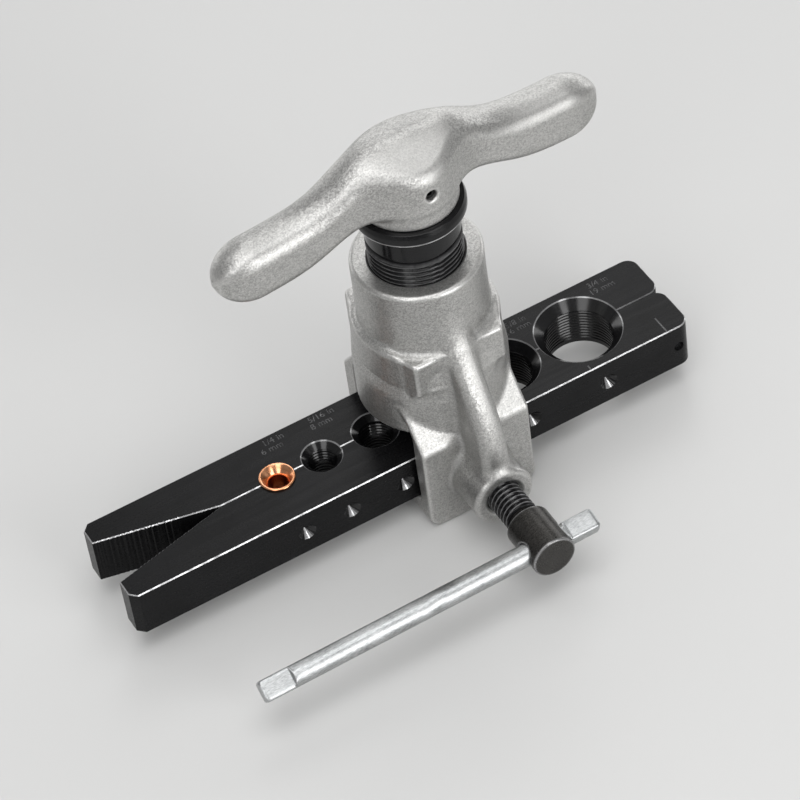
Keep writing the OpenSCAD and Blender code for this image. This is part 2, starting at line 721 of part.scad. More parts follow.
module clamp_point() {
    r = point_d / 2;
    b = point_body_d / 2;
    s = point_stem_d / 2;
    base = screw_end_y + run_gap;
    g = snap_in_d / 2 - run_gap;
    gz = -snap_set - run_gap;
    gh = snap_t / 2 + run_gap;
    color("#7d8086") on_clamp_axis(base) rotate_extrude() polygon([
        [0, -point_stem_l], [s, -point_stem_l], [s, gz - gh], [g, gz - gh], [g, gz + gh], [s, gz + gh],
        [s, 0], [b, 0], [b, point_body_l - point_bevel], [b - point_bevel, point_body_l],
        [r, point_body_l], [r, point_body_l + point_neck], [0, point_body_l + point_neck + point_l]]);
}

// Wire ring that keeps the clamp point in the screw while the screw turns
module point_snap_ring() {
    color("#6d7076") on_clamp_axis(screw_end_y - snap_set - snap_t / 2) difference() {
        cylinder(d = snap_out_d, h = snap_t);
        translate([0, 0, -over]) cylinder(d = snap_in_d, h = snap_t + 2 * over);
        translate([0, -snap_split / 2, -over]) cube([snap_out_d, snap_split, snap_t + 2 * over]);
    }
}

// Round bar whose ends are pressed flat so that it can't leave the head
module tommy_bar() {
    round_len = tommy_len - 2 * flat_len + 2 * press_lap;
    color("#d4d7da") translate([0, cross_y, clamp_z]) rotate([0, -tommy_tilt, 0])
        translate([tommy_x, 0, 0]) {
        translate([flat_len - press_lap, 0, 0]) rotate([0, 90, 0]) cylinder(d = tommy_d, h = round_len);
        pressed_end();
        translate([tommy_len, 0, 0]) mirror([1, 0, 0]) pressed_end();
    }
}

module pressed_end() {
    c = press_bevel;
    translate([0, 0, -flat_t / 2]) linear_extrude(flat_t) polygon([
        [0, -flat_w / 2 + c], [c, -flat_w / 2], [flat_len - c, -flat_w / 2], [flat_len, -flat_w / 2 + c],
        [flat_len, flat_w / 2 - c], [flat_len - c, flat_w / 2], [c, flat_w / 2], [0, flat_w / 2 - c]]);
}

rear_die_bar();
front_die_bar();
fulcrum_pin();
guide_dowel();
copper_tube();
yoke();
feed_screw();
stop_collar();
handle();
handle_set_screw();
thrust_ball();
flaring_cone();
bearing_shell();
needle_rollers();
cone_thrust_washer();
cone_retaining_ring();
clamp_screw();
clamp_point();
point_snap_ring();
tommy_bar();
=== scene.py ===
import math
import bmesh
import bpy
import numpy as np
from mathutils import Matrix


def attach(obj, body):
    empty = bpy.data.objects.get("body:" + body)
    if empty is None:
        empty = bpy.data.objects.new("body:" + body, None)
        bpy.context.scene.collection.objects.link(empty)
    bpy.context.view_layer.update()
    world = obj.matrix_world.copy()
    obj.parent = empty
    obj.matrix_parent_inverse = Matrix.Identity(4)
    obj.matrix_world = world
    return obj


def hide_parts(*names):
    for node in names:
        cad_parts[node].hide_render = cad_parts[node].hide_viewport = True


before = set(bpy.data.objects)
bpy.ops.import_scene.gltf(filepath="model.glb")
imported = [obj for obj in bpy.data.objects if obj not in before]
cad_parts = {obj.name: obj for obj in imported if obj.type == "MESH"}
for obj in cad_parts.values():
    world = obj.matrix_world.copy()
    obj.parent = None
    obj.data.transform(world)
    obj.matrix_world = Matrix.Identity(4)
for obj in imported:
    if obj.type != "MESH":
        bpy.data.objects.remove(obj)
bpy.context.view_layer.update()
print("frame loaded:", len(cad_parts), "nodes")

mm = 0.001        # every shape below is worked out in millimetres, in the CAD's own frame
turn = 2 * math.pi


# shaping helpers


def meld(a, b, k):
    # union of two bodies with a fillet of about k where they meet
    h = np.maximum(k - np.abs(a - b), 0) / k
    return np.minimum(a, b) - h * h * k / 4


def carve(a, b, k):
    # body a with body b taken away, the new edge rounded by about k
    return -meld(-a, b, k)


def crossed(a, b, edge):
    # what two bodies share, with the edge between them rounded to a radius
    u, v = a + edge, b + edge
    return np.minimum(np.maximum(u, v), 0) + np.hypot(np.maximum(u, 0), np.maximum(v, 0)) - edge


def ramp(value, start, end):
    # 0 at the start, 1 at the end and straight between; the start may be the larger one
    return np.clip((value - start) / (end - start), 0, 1)


def eased(t):
    # a straight run from 0 to 1 made smooth at both ends
    return t * t * (3 - 2 * t)


def outlineGap(u, v, corners):
    # signed distance of (u, v) to a closed outline: nearest edge, negative inside
    best, inside = np.inf, False
    for (ax, ay), (bx, by) in zip(corners, corners[1:] + corners[:1]):
        ex, ey = bx - ax, by - ay
        px, py = u - ax, v - ay
        t = np.clip((px * ex + py * ey) / (ex * ex + ey * ey), 0, 1)
        best = np.minimum(best, (px - ex * t) ** 2 + (py - ey * t) ** 2)
        if ey != 0:
            crossing = ((ay <= v) & (v < by)) | ((by <= v) & (v < ay))
            inside = inside ^ (crossing & (u < ax + py * ex / ey))
    return np.where(inside, -1, 1) * np.sqrt(best)


settling = {"rounds": 4, "probe": 0.2, "longest": 0.5, "flattest": 0.05}  # probe and longest step in cells


def castSurface(field, low, high, cell):
    # skin of the body where field < 0: one point in each grid cell that the zero level crosses, at the mean
    # of the crossings on that cell's edges, then pulled on to the level along the field's slope
    counts = np.ceil((np.array(high, float) - low) / cell).astype(int) + 1
    rulers = [low[i] + cell * np.arange(counts[i]) for i in range(3)]
    x, y, z = np.meshgrid(*rulers, indexing="ij", sparse=True)
    f = np.broadcast_to(field(x, y, z), counts).astype(np.float32)
    inside = f < 0
    corners = np.array([[i, j, k] for i in (0, 1) for j in (0, 1) for k in (0, 1)])
    full = sum(inside[i:counts[0] - 1 + i, j:counts[1] - 1 + j, k:counts[2] - 1 + k].astype(np.int8)
               for i, j, k in corners)
    cells = np.argwhere((full > 0) & (full < 8))
    order = np.full(full.shape, -1)
    order[tuple(cells.T)] = np.arange(len(cells))
    value = np.stack([f[tuple((cells + c).T)] for c in corners], 1)
    total, share = np.zeros((len(cells), 3)), np.zeros((len(cells), 1))
    for a in range(8):
        for b in range(a + 1, 8):
            if np.abs(corners[a] - corners[b]).sum() == 1:
                fa, fb = value[:, a:a + 1], value[:, b:b + 1]
                hit = (fa < 0) != (fb < 0)
                t = np.where(hit, fa / np.where(hit, fa - fb, 1), 0)
                total += hit * (corners[a] + t * (corners[b] - corners[a]))
                share += hit
    points = np.array(low, float) + cell * (cells + total / share)
    faces = []
    for axis in range(3):
        one, two = (axis + 1) % 3, (axis + 2) % 3
        start = [slice(None)] * 3
        start[axis] = slice(0, -1)
        end = list(start)
        end[axis] = slice(1, None)
        edges = np.argwhere(inside[tuple(start)] != inside[tuple(end)])
        edges = edges[(edges[:, one] > 0) & (edges[:, two] > 0)]
        edges = edges[(edges[:, one] < counts[one] - 1) & (edges[:, two] < counts[two] - 1)]
        outward = inside[tuple(edges.T)]
        ring = []
        for da, db in ((-1, -1), (0, -1), (0, 0), (-1, 0)):
            at = edges.copy()
            at[:, one] += da
            at[:, two] += db
            ring.append(order[tuple(at.T)])
        quad = np.stack(ring, 1)
        faces.append(np.where(outward[:, None], quad, quad[:, ::-1]))
    longest = settling["longest"] * cell
    for _ in range(settling["rounds"]):
        gap, slope = fieldSlope(field, points, cell * settling["probe"])
        step = gap[:, None] * slope / np.maximum((slope ** 2).sum(1, keepdims=True), settling["flattest"])
        points -= np.clip(step, -longest, longest)
    return points, np.concatenate(faces)


def fieldSlope(field, points, step):
    # the field and its gradient at points, by central differences
    probe = lambda p: field(p[:, 0], p[:, 1], p[:, 2])
    slope = np.stack([(probe(points + d) - probe(points - d)) / (2 * step) for d in step * np.eye(3)], 1)
    return probe(points), slope


def fieldBend(field, points, reach):
    # how strongly the surface bends: above zero on outer edges, below zero in inner corners, per millimetre
    probe = lambda p: field(p[:, 0], p[:, 1], p[:, 2])
    around = sum(probe(points + d) + probe(points - d) for d in reach * np.eye(3))
    return (around - 6 * probe(points)) / reach ** 2


def gridFaces(rows, cols):
    # quads of a grid of rows x cols points that closes on itself along its columns
    r, c = np.meshgrid(np.arange(rows - 1), np.arange(cols), indexing="ij")
    a, b = r * cols + c, r * cols + (c + 1) % cols
    return np.stack([a, b, b + cols, a + cols], -1).reshape(-1, 4)


def endCaps(rows, cols, first=0):
    # two faces that close the first and the last ring of such a grid
    ring = first + np.arange(cols)
    return [list(ring[::-1]), list(ring + (rows - 1) * cols)]


def turnedSkin(radius, height, steps):
    # heights with a radius each, or with a radius for every step, carried once round their axis
    angle = turn * np.arange(steps) / steps
    r = np.asarray(radius, float).reshape(len(height), -1) + np.zeros(steps)
    z = np.asarray(height, float)[:, None] + np.zeros(steps)
    points = np.stack([r * np.cos(angle), r * np.sin(angle), z], -1).reshape(-1, 3)
    return points, gridFaces(len(height), steps)


def turnedSleeve(profile, steps):
    # a closed profile of (radius, height) points carried round its axis, the last ring joined to the first
    r, z = np.array(profile + profile[:1]).T
    points, faces = turnedSkin(r, z, steps)
    last = len(profile) * steps
    return points[:last], np.where(faces >= last, faces - last, faces)


threadForm = {"mouthHalf": 0.42, "flank": 0.34, "rows": 12}  # shares of the pitch; rows of points in one


def threadRadius(outer, depth, pitch, steps, height, startRun, endRun):
    # right-hand thread: radius falls from crest to root with the height less pitch x angle / turn,
    # and the groove fades out over the run at each end
    angle = np.arange(steps) / steps
    phase = (height[:, None] / pitch - angle) % 1
    groove = np.clip((threadForm["mouthHalf"] - np.abs(phase - 0.5)) / threadForm["flank"], 0, 1)
    fade = np.clip((height - height[0]) / startRun, 0, 1) * np.clip((height[-1] - height) / endRun, 0, 1)
    return outer - depth * groove * fade[:, None]


def newObject(name, data):
    # an object at the origin, linked into the scene
    thing = bpy.data.objects.new(name, data)
    bpy.context.scene.collection.objects.link(thing)
    return thing


def bakedMesh(thing):
    # an object's shape with its modifiers, as a mesh of its own
    bpy.context.view_layer.update()
    return bpy.data.meshes.new_from_object(thing.evaluated_get(bpy.context.evaluated_depsgraph_get()))


def addPiece(name, points, faces, body, nodes, finish, sharp=None, normals=None, marks=None):
    # one mesh from points in millimetres, on its body, with its finish, in place of its CAD nodes
    mesh = bpy.data.meshes.new(name)
    faceLists = [f for group in faces for f in (group.tolist() if isinstance(group, np.ndarray) else group)]
    mesh.from_pydata((np.asarray(points) * mm).tolist(), [], faceLists)
    mesh.validate()
    mesh.shade_smooth()
    for label, values in (marks or {}).items():
        mesh.attributes.new(label, "FLOAT", "POINT").data.foreach_set("value", values.astype(np.float32))
    if normals is not None:
        mesh.normals_split_custom_set_from_vertices(normals.tolist())
    if sharp:
        mesh.set_sharp_from_angle(angle=math.radians(sharp))
    mesh.materials.append(finish)
    piece = newObject(name, mesh)
    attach(piece, body)
    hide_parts(*nodes)
    print("piece", name, len(mesh.polygons), "faces")
    return piece


castSkin = {"normalStep": 0.25, "bendReach": 0.7, "bendLimit": 2.0}  # the step is a share of the cell


def addCasting(name, field, sizes, body, nodes, finish):
    # a cast piece: its skin, normals from the field's own slope, and how each point bends for the finish
    points, faces = castSurface(field, sizes["low"], sizes["high"], sizes["cell"])
    slope = fieldSlope(field, points, castSkin["normalStep"] * sizes["cell"])[1]
    normals = slope / np.linalg.norm(slope, axis=1, keepdims=True)
    limit = castSkin["bendLimit"]
    bend = np.clip(fieldBend(field, points, castSkin["bendReach"]), -limit, limit)
    return addPiece(name, points, [faces], body, nodes, finish, normals=normals, marks={"bend": bend})


def coneCutter(tip, mouth, tipRadius, mouthRadius, steps=40):
    # a cone or rod between two points, as a cutting body
    tip, mouth = np.array(tip, float), np.array(mouth, float)
    axis = (mouth - tip) / np.linalg.norm(mouth - tip)
    side = np.cross(axis, (0, 0, 1) if abs(axis[2]) < 0.9 else (1, 0, 0))
    side /= np.linalg.norm(side)
    other = np.cross(axis, side)
    a = turn * np.arange(steps)[:, None] / steps
    ring = np.cos(a) * side + np.sin(a) * other
    points = np.concatenate([tip + tipRadius * ring, mouth + mouthRadius * ring])
    i = np.arange(steps)
    j = (i + 1) % steps
    faces = np.stack([i, j, j + steps, i + steps], 1).tolist()
    return points, faces + [list(i[::-1]), list(i + steps)]


def rodCutter(start, end, radius, steps=40):
    return coneCutter(start, end, radius, radius, steps)


def cutPiece(piece, cutters):
    # takes all the cutting bodies from a piece at once and keeps the result as the piece's own mesh
    touching = 1e-7  # metres; points closer than this are one
    points, faces, first = [], [], 0
    for body, sides in cutters:
        points.append(body)
        faces += [[first + v for v in side] for side in sides]
        first += len(body)
    mesh = bpy.data.meshes.new("cutters")
    mesh.from_pydata((np.concatenate(points) * mm).tolist(), [], faces)
    weld = bmesh.new()
    weld.from_mesh(mesh)
    bmesh.ops.remove_doubles(weld, verts=weld.verts, dist=touching)
    for _ in range(3):  # closes the slits that a letter's flat filling leaves
        bmesh.ops.holes_fill(weld, edges=[e for e in weld.edges if e.is_boundary], sides=0)
        bmesh.ops.dissolve_degenerate(weld, dist=touching, edges=weld.edges)
    bmesh.ops.recalc_face_normals(weld, faces=weld.faces)
    weld.to_mesh(mesh)
    weld.free()
    tool = newObject("cutters", mesh)
    cut = piece.modifiers.new("cut", "BOOLEAN")
    cut.operation, cut.solver, cut.object = "DIFFERENCE", "EXACT", tool
    result = bakedMesh(piece)
    piece.modifiers.clear()
    old, name = piece.data, piece.data.name
    piece.data = result
    bpy.data.meshes.remove(old)
    result.name = name
    bpy.data.objects.remove(tool)
    bpy.data.meshes.remove(mesh)


# finishes: node helpers


def newFinish(name, metallic, roughness):
    finish = bpy.data.materials.new(name)
    finish.use_nodes = True
    shader = finish.node_tree.nodes["Principled BSDF"]
    shader.inputs["Metallic"].default_value = metallic
    shader.inputs["Roughness"].default_value = roughness
    return finish, finish.node_tree, shader


def addNode(tree, kind, settings=None, **inputs):
    node = tree.nodes.new(kind)
    for key, value in (settings or {}).items():
        setattr(node, key, value)
    for key, value in inputs.items():
        socket = node.inputs[int(key[1:])] if key[0] == "i" and key[1:].isdigit() else node.inputs[key]
        if isinstance(value, bpy.types.NodeSocket):
            tree.links.new(value, socket)
        else:
            socket.default_value = value
    return node


def placeOf(tree, stretch=(1, 1, 1)):
    # Object coordinates, stretched so that a pattern runs along the piece
    coords = addNode(tree, "ShaderNodeTexCoord")
    return addNode(tree, "ShaderNodeMapping", Vector=coords.outputs["Object"], Scale=stretch).outputs["Vector"]


def noiseOf(tree, place, scale, detail, rough):
    noise = addNode(tree, "ShaderNodeTexNoise", Vector=place, Scale=scale, Detail=detail, Roughness=rough)
    return noise.outputs["Fac"]


def rangeOf(tree, value, low, high, toLow, toHigh):
    return addNode(tree, "ShaderNodeMapRange", i0=value, i1=low, i2=high, i3=toLow, i4=toHigh).outputs[0]


def mixOf(tree, share, one, two):
    node = addNode(tree, "ShaderNodeMix", {"data_type": "RGBA"}, i0=share)
    for socket, value in ((node.inputs[6], one), (node.inputs[7], two)):
        if isinstance(value, bpy.types.NodeSocket):
            tree.links.new(value, socket)
        else:
            socket.default_value = (*value, 1)
    return node.outputs[2]


def mathOf(tree, operation, one, two=0.0):
    return addNode(tree, "ShaderNodeMath", {"operation": operation}, i0=one, i1=two).outputs[0]


def blendOf(tree, one, share, two):
    # a share of the first value and the rest of the second
    return mathOf(tree, "ADD", mathOf(tree, "MULTIPLY", one, share), mathOf(tree, "MULTIPLY", two, 1 - share))


def vectorOf(tree, operation, **inputs):
    return addNode(tree, "ShaderNodeVectorMath", {"operation": operation}, **inputs).outputs[0]


def attributeOf(tree, label):
    return addNode(tree, "ShaderNodeAttribute", {"attribute_name": label}).outputs["Fac"]


def bumpOf(tree, shader, height, strength, depth):
    bump = addNode(tree, "ShaderNodeBump", Height=height, Strength=strength, Distance=depth)
    tree.links.new(bump.outputs["Normal"], shader.inputs["Normal"])


# cast silver

castLook = {
    "metallic": 0.9, "plainRough": 0.4, "rough": (0.36, 0.52), "edgePolish": -0.3,
    "pale": (0.55, 0.546, 0.532), "deep": (0.31, 0.308, 0.3), "toneSpan": (0.15, 0.85), "flakeShare": 0.6,
    # edge: a paler colour painted on outer edges as a highlight
    "edge": (0.76, 0.755, 0.74), "highlightBend": (0.3, 1.2), "paintedHighlightShare": 0.4,
    # inner: a darker colour painted into inner corners as shade
    "inner": (0.25, 0.25, 0.248), "shadeBend": (-0.15, -0.9), "paintedShadeShare": 0.3,
    "flake": 3100, "sparkle": 0.12, "grain": 5200, "grainSpan": (0.2, 0.8), "mottle": 70,
}


def castFinish(name):
    # blasted silver casting: flakes that each face their own way, outer edges painted paler as a highlight and
    # inner corners painted darker as shade
    look = castLook
    finish, tree, shader = newFinish(name, look["metallic"], look["plainRough"])
    place = placeOf(tree)
    flake = addNode(tree, "ShaderNodeTexVoronoi", Vector=place, Scale=look["flake"]).outputs["Color"]
    flakeTone = addNode(tree, "ShaderNodeSeparateColor", i0=flake).outputs[0]
    grain = noiseOf(tree, place, look["grain"], detail=2, rough=0.6)
    mottle = noiseOf(tree, place, look["mottle"], detail=4, rough=0.6)
    tone = rangeOf(tree, blendOf(tree, flakeTone, look["flakeShare"], mottle), *look["toneSpan"], 0, 1)
    body = mixOf(tree, tone, look["deep"], look["pale"])
    bend = attributeOf(tree, "bend")
    # painted highlight on outer edges and painted shade in inner corners, both from how the surface bends
    outer = rangeOf(tree, bend, *look["highlightBend"], 0, look["paintedHighlightShare"])
    inner = rangeOf(tree, bend, *look["shadeBend"], 0, look["paintedShadeShare"])
    highlighted = mixOf(tree, outer, body, look["edge"])
    tree.links.new(mixOf(tree, inner, highlighted, look["inner"]), shader.inputs["Base Color"])
    polish = mathOf(tree, "MULTIPLY", outer, look["edgePolish"])
    rough = rangeOf(tree, mathOf(tree, "ADD", grain, polish), *look["grainSpan"], *look["rough"])
    tree.links.new(rough, shader.inputs["Roughness"])
    tilt = vectorOf(tree, "SUBTRACT", i0=flake, i1=(0.5, 0.5, 0.5))  # a colour read as a small turn each way
    tilt = vectorOf(tree, "SCALE", i0=tilt, Scale=look["sparkle"])
    facing = addNode(tree, "ShaderNodeNewGeometry").outputs["Normal"]
    tilted = vectorOf(tree, "NORMALIZE", i0=vectorOf(tree, "ADD", i0=facing, i1=tilt))
    tree.links.new(tilted, shader.inputs["Normal"])
    return finish


# blackened steels

oxideBase = {
    "plainRough": 0.35, "grain": 2400, "mottle": 60, "mottleShare": 0.4, "toneSpan": (0.38, 0.66),
    "lineShare": 0.5, "roughSpan": (0.3, 0.7), "bumpDepth": 0.00006, "bare": (0.7, 0.7, 0.71),
    "patch": 420, "patchSpan": (0.32, 0.6), "patchLeast": 0.45,
}
oxideTones = {"dark": (0.003, 0.003, 0.0032), "pale": (0.009, 0.009, 0.0097), "metallic": 0.0}
oxideLooks = {
    "blackOxide": {**oxideTones, "gloss": 0.12, "streak": (40, 900, 900), "rough": (0.2, 0.38), "bump": 0.25},
    "blackSteel": {**oxideTones, "gloss": 0.26, "streak": (120, 120, 2600), "rough": (0.08, 0.22), "bump": 0.1},
    "boredSteel": {**oxideTones, "gloss": 0.5, "streak": (200, 200, 200), "rough": (0.1, 0.2), "bump": 0.08},
    "headSteel": {"dark": (0.011, 0.0106, 0.01), "pale": (0.06, 0.057, 0.053), "metallic": 0.6, "gloss": 0.4,
                  "streak": (300, 2200, 300), "rough": (0.18, 0.42), "bump": 0.3},
}


def oxideFinish(name):
    # blackened steel: fine grain, faint machining streaks, bare metal where a piece is marked, for wear and as
    # painted highlights and glints
    base, look = oxideBase, oxideLooks[name]
    finish, tree, shader = newFinish(name, look["metallic"], base["plainRough"])
    shader.inputs["Specular IOR Level"].default_value = look["gloss"]
    place = placeOf(tree)
    grain = noiseOf(tree, place, base["grain"], detail=3, rough=0.65)
    lines = noiseOf(tree, placeOf(tree, look["streak"]), 1, detail=2, rough=0.5)
    mottle = noiseOf(tree, place, base["mottle"], detail=3, rough=0.6)
    tone = rangeOf(tree, blendOf(tree, mottle, base["mottleShare"], grain), *base["toneSpan"], 0, 1)
    body = mixOf(tree, tone, look["dark"], look["pale"])
    patch = noiseOf(tree, place, base["patch"], detail=3, rough=0.6)
    patch = rangeOf(tree, patch, *base["patchSpan"], base["patchLeast"], 1)
    # share of bare metal, from wear and from painted highlights and glints
    wearAndHighlight = mathOf(tree, "MULTIPLY", attributeOf(tree, "wearAndHighlight"), patch)
    tree.links.new(mixOf(tree, wearAndHighlight, body, base["bare"]), shader.inputs["Base Color"])
    tree.links.new(rangeOf(tree, wearAndHighlight, 0, 1, look["metallic"], 1), shader.inputs["Metallic"])
    rough = rangeOf(tree, blendOf(tree, lines, base["lineShare"], grain), *base["roughSpan"], *look["rough"])
    tree.links.new(rough, shader.inputs["Roughness"])
    height = mathOf(tree, "ADD", grain, mathOf(tree, "MULTIPLY", lines, base["lineShare"]))
    bumpOf(tree, shader, height, look["bump"], base["bumpDepth"])
    return finish


# bright metals

brightBase = {
    "plainRough": 0.3, "stain": 160, "lineShare": 0.6, "toneSpan": (0.36, 0.62), "roughSpan": (0.3, 0.7),
    "bumpDepth": 0.00004,
}
brightLooks = {
    "zincPlate": {"low": (0.27, 0.279, 0.283), "high": (0.53, 0.54, 0.543), "streak": (900, 4200, 4200),
                  "rough": (0.3, 0.44), "bump": 0.5},
    "groundSteel": {"low": (0.42, 0.43, 0.45), "high": (0.62, 0.63, 0.65), "streak": (300, 300, 2500),
                    "rough": (0.2, 0.34), "bump": 0.2},
    "copper": {"low": (0.66, 0.27, 0.12), "high": (0.86, 0.44, 0.25), "streak": (300, 300, 1500),
               "rough": (0.14, 0.26), "bump": 0.12},
    "bronze": {"low": (0.42, 0.26, 0.11), "high": (0.58, 0.4, 0.18), "streak": (900, 900, 2200),
               "rough": (0.25, 0.4), "bump": 0.2},
}


def brightFinish(name):
    # bare or plated metal: drawn lines along the piece, small stains, a little scatter in gloss
    base, look = brightBase, brightLooks[name]
    finish, tree, shader = newFinish(name, 1.0, base["plainRough"])
    lines = noiseOf(tree, placeOf(tree, look["streak"]), 1, detail=3, rough=0.55)
    stain = noiseOf(tree, placeOf(tree), base["stain"], detail=4, rough=0.6)
    tone = rangeOf(tree, blendOf(tree, lines, base["lineShare"], stain), *base["toneSpan"], 0, 1)
    tree.links.new(mixOf(tree, tone, look["low"], look["high"]), shader.inputs["Base Color"])
    tree.links.new(rangeOf(tree, stain, *base["roughSpan"], *look["rough"]), shader.inputs["Roughness"])
    bumpOf(tree, shader, lines, look["bump"], base["bumpDepth"])
    return finish


castSilver = castFinish("castSilver")
blackOxide, blackSteel, boredSteel, headSteel = (oxideFinish(name) for name in oxideLooks)
zincPlate, groundSteel, copper, bronze = (brightFinish(name) for name in brightLooks)
print("finishes ready:", len(bpy.data.materials))

nodeFinish = {
    "fulcrum_pin": groundSteel, "guide_dowel": groundSteel, "thrust_ball": groundSteel,
    "flaring_cone": groundSteel, "bearing_shell": groundSteel, "needle_rollers": groundSteel,
    "cone_thrust_washer": bronze, "cone_retaining_ring": blackSteel, "handle_set_screw": blackSteel,
    "clamp_point": groundSteel, "point_snap_ring": blackSteel,
}
for node, finish in nodeFinish.items():
    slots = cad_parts[node].data.materials
    slots.clear()
    slots.append(finish)
print("inner nodes finished:", len(nodeFinish))


# yoke casting

pastAxis = -9.0  # closes a turned outline well beyond its axis
yokeCast = {
    "cell": 0.56, "low": (-22.4, -36.2, -8.8), "high": (22.4, 27.6, 72.9), "edge": 0.7,
    "wave": 0.04, "waveRates": (0.31, 0.23, 0.27, 0.19, 0.17, 0.29),
    "barrel": 17.5, "barrelFoot": 30.0, "top": 71.3, "crown": 1.2, "barrelFillet": 1.5,
    "band": 19.3, "bandLow": 40.5, "bandDip": 0.1, "ledge": 51.0, "ledgeIn": 1.0, "ledgeRise": 0.5,
    "skirt": 20.6, "skirtTop": 37.5, "skirtTurn": ((0.0, -2.4), (0.22, -0.4), (0.7, 1.3)), "rim": 23.5,
    "blockHalf": 13.0, "rearHalf": 14.0, "blockEdge": 1.1, "rearEdge": 1.8, "cornerShare": 0.7,
    "blockFace": 18.2, "blockProud": 2.0, "blockTop": 50.7, "blockBack": -1.0, "chin": 4.0,
    "flankX": 17.2, "flankY": 8.0, "flankFillet": 1.6, "flankSpan": (13.5, 15.5),
    "blockFillet": 0.7, "chinFillet": 2.8, "chinRise": (45.5, 40.5), "chinSpan": (12.5, 9.5),
    "legHalf": 16.2, "legRound": 0.9, "legTop": 36.0, "legEnd": 0.9, "legFillet": 0.9, "frontTop": 60.0,
    "footRound": 4.0, "foot": -7.15, "lipTop": -0.15, "lipIn": 11.0, "frontIn": 16.3, "rearIn": 15.15,
    "legOut": 21.55, "innerRound": 0.4, "shoulder": 21.2, "shoulderTop": 31.3, "shoulderIn": 13.5,
    "brow": 0.6, "browMiddle": 1.2, "browSpan": (9.0, 5.0),
    "backLean": (7.0, 5.0), "backLength": 8.6, "backTop": 24.6,
    "ribHalf": 4.0, "ribTop": 66.6, "ribHead": 15.8, "ribLevel": 20.3, "ribIn": 10.0, "ribCrown": 0.06,
    "ribEdge": 2.0, "ribOut": 33.4, "ribFoot": 12.0, "ribFillet": 2.0,
    "rearRibOut": 24.5, "rearRibFoot": 11.5, "rearRibFillet": 1.3,
    "bossR": 8.8, "bossFace": 34.5, "bossRoot": 8.9, "bossBack": 17.5, "bossNeck": (22.6, 25.2),
    "bossEdge": 1.5, "bossFillet": 1.4, "bossUpper": 1.8, "bossSpan": (12.0, 16.0), "bossMouth": 1.0,
    "clampZ": 7.5, "clampBore": 4.85, "clampEnd": 10.0, "clampEdge": 0.3,
    "bore": 12.66, "boreFoot": 36.0, "boreEdge": 0.2, "mouth": 0.4,
    "hollow": 15.0, "hollowFoot": -1.0, "roof": 41.0, "channelEdge": 0.35, "gapTop": 1.0, "gapEdge": 0.5,
}


def turnedBody(r, z):
    # skirt and stepped band as one outline turned about the feed axis, with the barrel on top
    c = yokeCast
    e = c["edge"]
    shoulder = [(c["skirt"] - e - inward, c["skirtTop"] + up) for inward, up in c["skirtTurn"]]
    lower = outlineGap(r, z, [(0, c["rim"] + e), (c["skirt"] - e, c["rim"] + e), *shoulder,
                              (c["band"] - e, c["bandLow"] - c["bandDip"]), (c["band"] - e, c["ledge"] - e),
                              (c["barrel"] - c["ledgeIn"], c["ledge"] + c["ledgeRise"] - e),
                              (0, c["ledge"] - e)]) - e
    barrel = crossed(r - c["barrel"], np.maximum(z - c["top"], c["barrelFoot"] - z), c["crown"])
    return meld(lower, barrel, c["barrelFillet"])


def blockGap(x, out, z, half, e):
    # a block on the band: a plan with sloped flanks, crossed with a side view whose underside slopes in
    c = yokeCast
    face, flank, under = c["blockFace"], c["flankX"] - e, c["bandLow"] - c["chin"]
    back, top = c["blockBack"], c["blockTop"] - e
    right = [(half - e, face + c["blockProud"]), (half - e, face), (flank, c["flankY"]), (flank, back)]
    plan = outlineGap(x, out, right + [(-u, v) for u, v in right[::-1]]) - e
    rise = outlineGap(out, z, [(back, under), (face - c["chin"] - e, under), (face - e, c["bandLow"]),
                               (face - e, top), (back, top)]) - e
    return crossed(plan, rise, c["cornerShare"] * e)


def legGap(out, z, side, inner):
    # a leg: a plate with a sloped shoulder, a back that leans in to the bowl and a lip hooked under the bar
    c = yokeCast
    steep, deep = c["shoulderTop"] - c["shoulder"], c["legOut"] - c["shoulderIn"]
    slope = ((out - c["legOut"]) * steep + (z - c["shoulder"]) * deep) / math.hypot(steep, deep)
    run, rise = c["backLean"]
    lean = ((inner - out) * run + (c["backTop"] - z) * rise) / c["backLength"]
    hook = np.maximum(c["lipIn"] - out, z - c["lipTop"])
    brow = c["brow"] + c["browMiddle"] * ramp(side, *c["browSpan"])
    leg = crossed(out - c["legOut"], slope, brow)
    leg = crossed(leg, np.maximum(c["foot"] - z, z - c["legTop"]), c["legEnd"])
    leg = crossed(leg, np.minimum(np.minimum(inner - out, lean), hook), c["innerRound"])
    f = c["footRound"]
    foot, wide, top = c["foot"] + f, c["legHalf"] - f, c["frontTop"]
    front = outlineGap(side, z, [(0, foot), (wide, foot), (wide, top), (0, top)]) - f
    return crossed(leg, front, c["legRound"])


def ribGap(out, z, side, reach, foot):
    # a rib's crest swings out from the barrel to its full reach along an S line
    c = yokeCast
    swing = reach - c["ribHead"]
    t = ramp(z, c["ribTop"], c["ribLevel"])
    crest = c["ribHead"] + swing * eased(t)
    lean = swing * 6 * t * (1 - t) / (c["ribTop"] - c["ribLevel"])  # the S line's own slope
    front = (out - crest + c["ribCrown"] * side * side) / np.sqrt(1 + lean * lean)
    ends = np.maximum(np.maximum(foot - z, z - c["ribTop"]), c["ribIn"] - out)
    return crossed(np.maximum(front, ends), side - c["ribHalf"], c["ribEdge"])


def bossGap(out, fromAxis):
    # clamp boss, turned about the clamp screw's axis
    c = yokeCast
    e = c["bossEdge"]
    back, face, root, full = c["bossBack"], c["bossFace"] - e, c["bossRoot"] - e, c["bossR"] - e
    neckFrom, neckTo = c["bossNeck"]
    return outlineGap(out, fromAxis, [(back, pastAxis), (back, root), (neckFrom, root), (neckTo, full),
                                      (face, full), (face, pastAxis)]) - e


